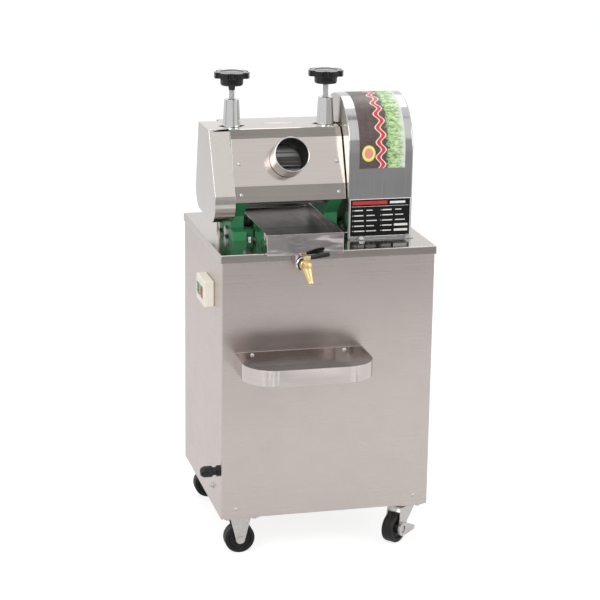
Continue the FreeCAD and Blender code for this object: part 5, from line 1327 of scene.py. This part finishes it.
@dataclass
class Wheels(Assembly):
    """The four moulded caster wheels."""

    radius: float = 32.5
    half: float = 13.0
    bore: float = 4.3
    left_x: float = -162.5
    pivot_x: float = 201.5
    rows: tuple[tuple[str, float, float], ...] = (("front", -99.5, 220.0), ("rear", 236.5, 165.0))
    trail: float = 28.0

    def build(self) -> None:
        """Builds the fixed wheel and the swivelled wheel of each row."""
        for end, y, angle in self.rows:
            c, s = math.cos(math.radians(angle)), math.sin(math.radians(angle))
            self.build_wheel(f"{end}_left", (self.left_x, y, self.radius), (0, 1, 0))
            self.build_wheel(f"{end}_right", (self.pivot_x + self.trail * c, y + self.trail * s,
                                              self.radius), (-s, c, 0))

    def build_wheel(self, name: str, middle: Spot, axis: Spot) -> None:
        """Builds a wheel: tread, dished sides, ribs and hub.

        Args:
            name: Which wheel it is.
            middle: Its middle.
            axis: The way its axle runs.
        """
        r, h = self.radius, self.half
        line = [(self.bore, -14.0), (10.4, -14.0), (11.0, -13.4), (12.0, -9.2), (22.0, -9.2),
                (22.6, -9.6), (24.5, -13.0), (r - 3.0, -h), (r - 0.9, -12.1), (r, -10.0)]
        tread = [(r, -2.0), (r - 0.7, -1.4), (r - 0.7, 1.4), (r, 2.0)]
        wheel = Shape().spin(line + tread + [(x, -z) for x, z in reversed(line)], 96)
        for offset in (-9.6, 9.6):
            rib = block((-5.4, -0.9, -0.9), (5.4, 0.9, 0.9), 0.4, 2)
            ring_of(rib, 6, 17.0, wheel, Matrix.Translation((0, 0, offset)))
        Shape().take(wheel.mesh, aimed(middle, axis)).become(
            f"{name}_tyre", "wheel_rubber", [RUBBER], f"{name}_wheel", body=f"{name}_roll")


@dataclass
class Fasteners(Assembly):
    """Every visible screw and bolt of the covers, the cabinet and the head."""

    head_radius: float = 4.5
    head_high: float = 2.6
    hood_across: Flat = (-102.0, 109.0)
    hood_levels: Flat = (162.0, 100.0)
    shelf_row: tuple[Flat, float] = ((-144.0, 54.0), 448.0)
    front_row: tuple[Flat, float] = ((-176.5, 215.5), 109.25)
    rear_rows: tuple[Flat, Spot] = ((-200.5, 239.5), (122.56, 376.0, 629.44))

    def pan_head(self) -> Solid:
        """A pan head with a cross recess."""
        r, h = self.head_radius, self.head_high
        head = Shape().spin([(0, -0.4), (r - 0.3, -0.4), (r, 0.2), (r - 0.3, 1.3),
                             (r - 1.3, h - 0.35), (1.6, h), (0, h)], 32)
        return head.cut(*((block((-2.5, -0.55, h - 1.3), (2.5, 0.55, h + 1), 0.1, 1), spun(turn))
                          for turn in (20, 110))).mesh

    def hexagon_head(self) -> Solid:
        """A bolt head with its washer face and washer."""
        bolt = Shape().take(prism(13.0, 6.0, 0.9))
        bolt.spin([(0, 0), (8.4, 0), (8.6, 0.3), (8.6, 1.3), (8.3, 1.6), (0, 1.6)], 40)
        return bolt.spin([(0, 5.5), (4.6, 5.5), (4.3, 6.15), (0, 6.15)], 32).mesh

    def hood_places(self) -> list[Matrix]:
        """Finds the places of the four screws on the hood's two slopes."""
        found = []
        foot, knee, brow = self.hood_front
        for x in self.hood_across:
            for height, low, high in zip(self.hood_levels, (knee, foot), (brow, knee)):
                rise, back = high[1] - low[1], high[0] - low[0]
                length = math.hypot(rise, back)
                out = Vector((0.0, -rise / length, back / length))
                y = self.head_y + low[0] + back * (height - low[1]) / rise
                spot = Vector((self.head_x + x, y, self.lid + height)) + self.wall * out
                found.append(aimed(spot, out))
        return found

    def copies(self, name: str, node: str, head: Solid, places: list[Matrix]) -> None:
        """Makes one piece of a head copied to many places.

        Args:
            name: The piece's name.
            node: The node that it replaces.
            head: The head, which is used up.
            places: Where the copies go.
        """
        heads = Shape()
        for at in places:
            heads.take(head, at, keep=True)
        head.free()
        heads.become(name, "screw_steel", [SCREW], node)

    def build(self) -> None:
        """Copies the heads to their places."""
        (xs, level), (ends, low), (sides, levels) = self.shelf_row, self.front_row, self.rear_rows
        panels = [(x, -134.5, level, -1) for x in xs] + [(x, -133.0, low, -1) for x in ends]
        panels += [(x, 270.0, z, 1) for x in sides for z in levels]
        self.copies("cover_screw_heads", "panel_screws", self.pan_head(),
                    self.hood_places() + [aimed((x, y, z), (0, out, 0)) for x, y, z, out in panels])
        rows = [(x, y, 0.0) for x in (-121.0, 32.0) for y in (-4.25, 141.25)]
        rows += [(x, -51.0, 1.5) for x in (109.7, 211.2)]
        rows += [(x, y, 14.0) for x in (124.5, 178.5) for y in (22.2, 114.8)]
        self.copies("machine_bolt_heads", "machine_bolts", self.hexagon_head(),
                    [Turn.PLAN.at(x, y, self.lid + z) @ spun(17.0 * number)
                     for number, (x, y, z) in enumerate(rows)])


# ---- carried-over metal

WEARING: tuple[tuple[Finish, str], ...] = (
    (BACKING, "rear_panel base_pan"), (MOTOR, "motor_housing motor_fan_cover"),
    (GREEN, "left_frame right_frame pillow_blocks"), (SCREW, "tie_rods"),
    (PAN, "discharge_chute"), (BRONZE, "roller_bushes"), (BELT, "drive_belt"),
    (ZINC, "motor_mount rigid_brackets swivel_plates caster_bolts rigid_axles front_swivel_fork "
           "rear_swivel_fork front_brake_pedal rear_brake_pedal"),
    (IRON, "bearing_blocks driven_pulley motor_pulley"),
    (ROLLER_STAIN_AND_SHADE, "top_roller front_roller rear_roller"),
    (GEAR, "turner_plate top_roller_gear main_gear front_roller_gear rear_roller_gear "
           "pinion_shaft motor_shaft"))


def dress(nodes: dict[str, Thing]) -> None:
    """Gives every node that keeps its own mesh a finish in place of the plain colour.

    Args:
        nodes: The frame's nodes by name.
    """
    finishes = {name: finish for finish, names in WEARING for name in names.split()}
    for name, node in nodes.items():
        if name not in finishes and name not in Ledger.replaced:
            LOG.warning("node %s has no finish of its own", name)
        node.data.materials.clear()
        node.data.materials.append(finishes.get(name, ZINC).material())


# ---- stage

def flat_sheet(name: str, size: Flat, at: Matrix, cuts: int, material: bpy.types.Material) -> Thing:
    """Builds a flat sheet of the stage.

    Args:
        name: The sheet's name.
        size: Its width and height, in metres.
        at: Its place.
        cuts: How many faces it has each way.
        material: Its material.

    Returns:
        The sheet.
    """
    grid = bmesh.new()
    bmesh.ops.create_grid(grid, x_segments=cuts, y_segments=cuts, size=0.5)
    bmesh.ops.scale(grid, vec=(*size, 1), verts=grid.verts)
    bmesh.ops.transform(grid, matrix=at, verts=grid.verts)
    sheet = as_object(name, grid)
    grid.free()
    sheet.data.materials.append(material)
    return sheet


@dataclass
class Studio:
    """White studio: pale floor, lamps, reflection cards, world and camera."""

    eye: Spot = (-0.98023, -3.79811, 1.59683)
    back: Spot = (-0.23890, -0.93447, 0.26399)
    right: Spot = (0.96884, -0.24769, 0.0)
    up: Spot = (0.06539, 0.25576, 0.96452)
    roll: float = 0.853
    lens: float = 113.57
    lamp_target: Spot = (0.0, 0.05, 0.5)
    floor_tone: float = 0.80
    floor_glow: float = 1.55
    world_level: float = 0.62
    lamps: tuple[tuple[str, Spot, float, float], ...] = (
        ("key", (-2.5, -3.5, 3.5), 95.0, 3.0), ("fill", (3.2, -2.6, 2.0), 32.0, 2.4),
        ("top", (0.2, 1.6, 3.6), 40.0, 2.5))
    cards: tuple[tuple[str, Spot, Spot, Flat, float], ...] = (
        ("card_front", (1.9, -7.0, 1.6), (0, -1, 0), (3.4, 3.2), 0.50),
        ("card_high", (1.04, -1.90, 5.66), (0.24, -0.44, 0.87), (1.3, 1.1), 0.40),
        ("card_floor", (0, -4.5, 0.002), (0, 0, -1), (8.0, 5.0), 0.44),
        ("card_near", (0, -1.55, 0.002), (0, 0, -1), (6.0, 0.9), 0.98),
        ("card_deep", (1.15, -3.40, 0.004), (0, 0, -1), (0.74, 0.9), 0.34),
        ("card_left", (-7.0, 0.6, 1.0), (-1, 0, 0), (0.9, 2.0), 0.35),
        ("card_right", (7.0, 0, 1.0), (1, 0, 0), (0.9, 2.0), 0.35))

    def build(self) -> None:
        """Builds the whole stage."""
        self.build_floor()
        self.build_world()
        self.build_lamps()
        for card in self.cards:
            self.build_card(*card)
        self.build_camera()
        bpy.context.scene.view_settings.view_transform = "Standard"

    def build_floor(self) -> None:
        """Builds the plain floor, white to the camera away from the shadow."""
        material, graph, face = shader("studio_floor")
        tone = graph.spread(graph.noise(graph.places(), 1.3, 2.0), 0.3, 0.7,
                            self.floor_tone * 0.99, self.floor_tone)
        for key, value in (("Base Color", tone), ("Roughness", 0.9), ("Specular IOR Level", 0.0)):
            graph.feed(face.inputs[key], value)
        seen = graph.add("LightPath").outputs["Is Camera Ray"]
        white = graph.add("Emission", {
            "Color": WHITE, "Strength": graph.spread(seen, 0.0, 1.0, 1.0, self.floor_glow)})
        blend = graph.add("MixShader", {0: graph.product(graph.straight(), 0.5),
                                                  1: face.outputs[0], 2: white.outputs[0]})
        graph.feed(material.node_tree.nodes["Material Output"].inputs["Surface"], blend.outputs[0])
        floor = flat_sheet("studio_floor", (120.0, 120.0), HERE, 2, material)

    def build_world(self) -> None:
        """Builds the white surroundings, dimmer for soft light than for straight looks."""
        world = bpy.data.worlds.new("studio_world")
        world.use_nodes = True
        bpy.context.scene.world = world
        graph = Graph(world.node_tree)
        surround = world.node_tree.nodes["Background"].inputs
        graph.feed(surround["Color"], WHITE)
        graph.feed(surround["Strength"],
                   graph.spread(graph.straight(), 0.0, 1.0, self.world_level, 1.0))

    def build_lamps(self) -> None:
        """Builds a large key lamp, a side fill and a top lamp."""
        for name, spot, power, size in self.lamps:
            lamp = bpy.data.lights.new(name, "AREA")
            lamp.energy, lamp.size = power, size
            placed(name, lamp).matrix_world = aimed(spot, Vector(spot) - Vector(self.lamp_target))

    def build_card(self, name: str, spot: Spot, away: Spot, size: Flat, tone: float) -> None:
        """Builds a grey card that only mirror-like faces see.

        Args:
            name: The card's name.
            spot: Its middle, in metres.
            away: The way its back looks.
            size: Its width and height.
            tone: How bright it is.
        """
        material, graph, _ = shader(name)
        mottled = graph.noise(graph.scaled(graph.places(), (3.4, 1.1, 1.0)), 1.0)
        glow = graph.add("Emission", {
            "Color": graph.spread(mottled, 0.35, 0.65, tone * 0.72, tone * 1.22)})
        graph.feed(material.node_tree.nodes["Material Output"].inputs["Surface"], glow.outputs[0])
        card = flat_sheet(name, size, aimed(spot, away), 1, material)
        for kind in ("camera", "diffuse", "shadow", "transmission", "volume_scatter"):
            setattr(card, f"visible_{kind}", False)

    def build_camera(self) -> None:
        """Places the camera."""
        right, up, back = Vector(self.right), Vector(self.up), Vector(self.back)
        c, s = math.cos(math.radians(self.roll)), math.sin(math.radians(self.roll))
        view = bpy.data.cameras.new("camera")
        view.lens, view.sensor_width, view.clip_end = self.lens, 36.0, 200.0
        camera = placed("camera", view)
        turned = Matrix((c * right + s * up, -s * right + c * up, back)).transposed().to_4x4()
        camera.matrix_world = Matrix.Translation(self.eye) @ turned
        bpy.context.scene.camera = camera


# ---- whole


def main() -> None:
    """Builds the looks of the whole machine."""
    logging.basicConfig(level=logging.INFO, format="%(name)s %(message)s")
    for assembly in (Cabinet(), CupShelf(), Hood(), PressureScrews(), GearCover(), DriveCover(),
                     JuiceTray(), Controls(), Wheels(), Fasteners()):
        LOG.info("building %s", type(assembly).__name__)
        assembly.build()
    dress(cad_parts)
    Studio().build()
    LOG.info("boxes written, %d pieces", len(Ledger.pieces))


if __name__ == "__main__":
    main()
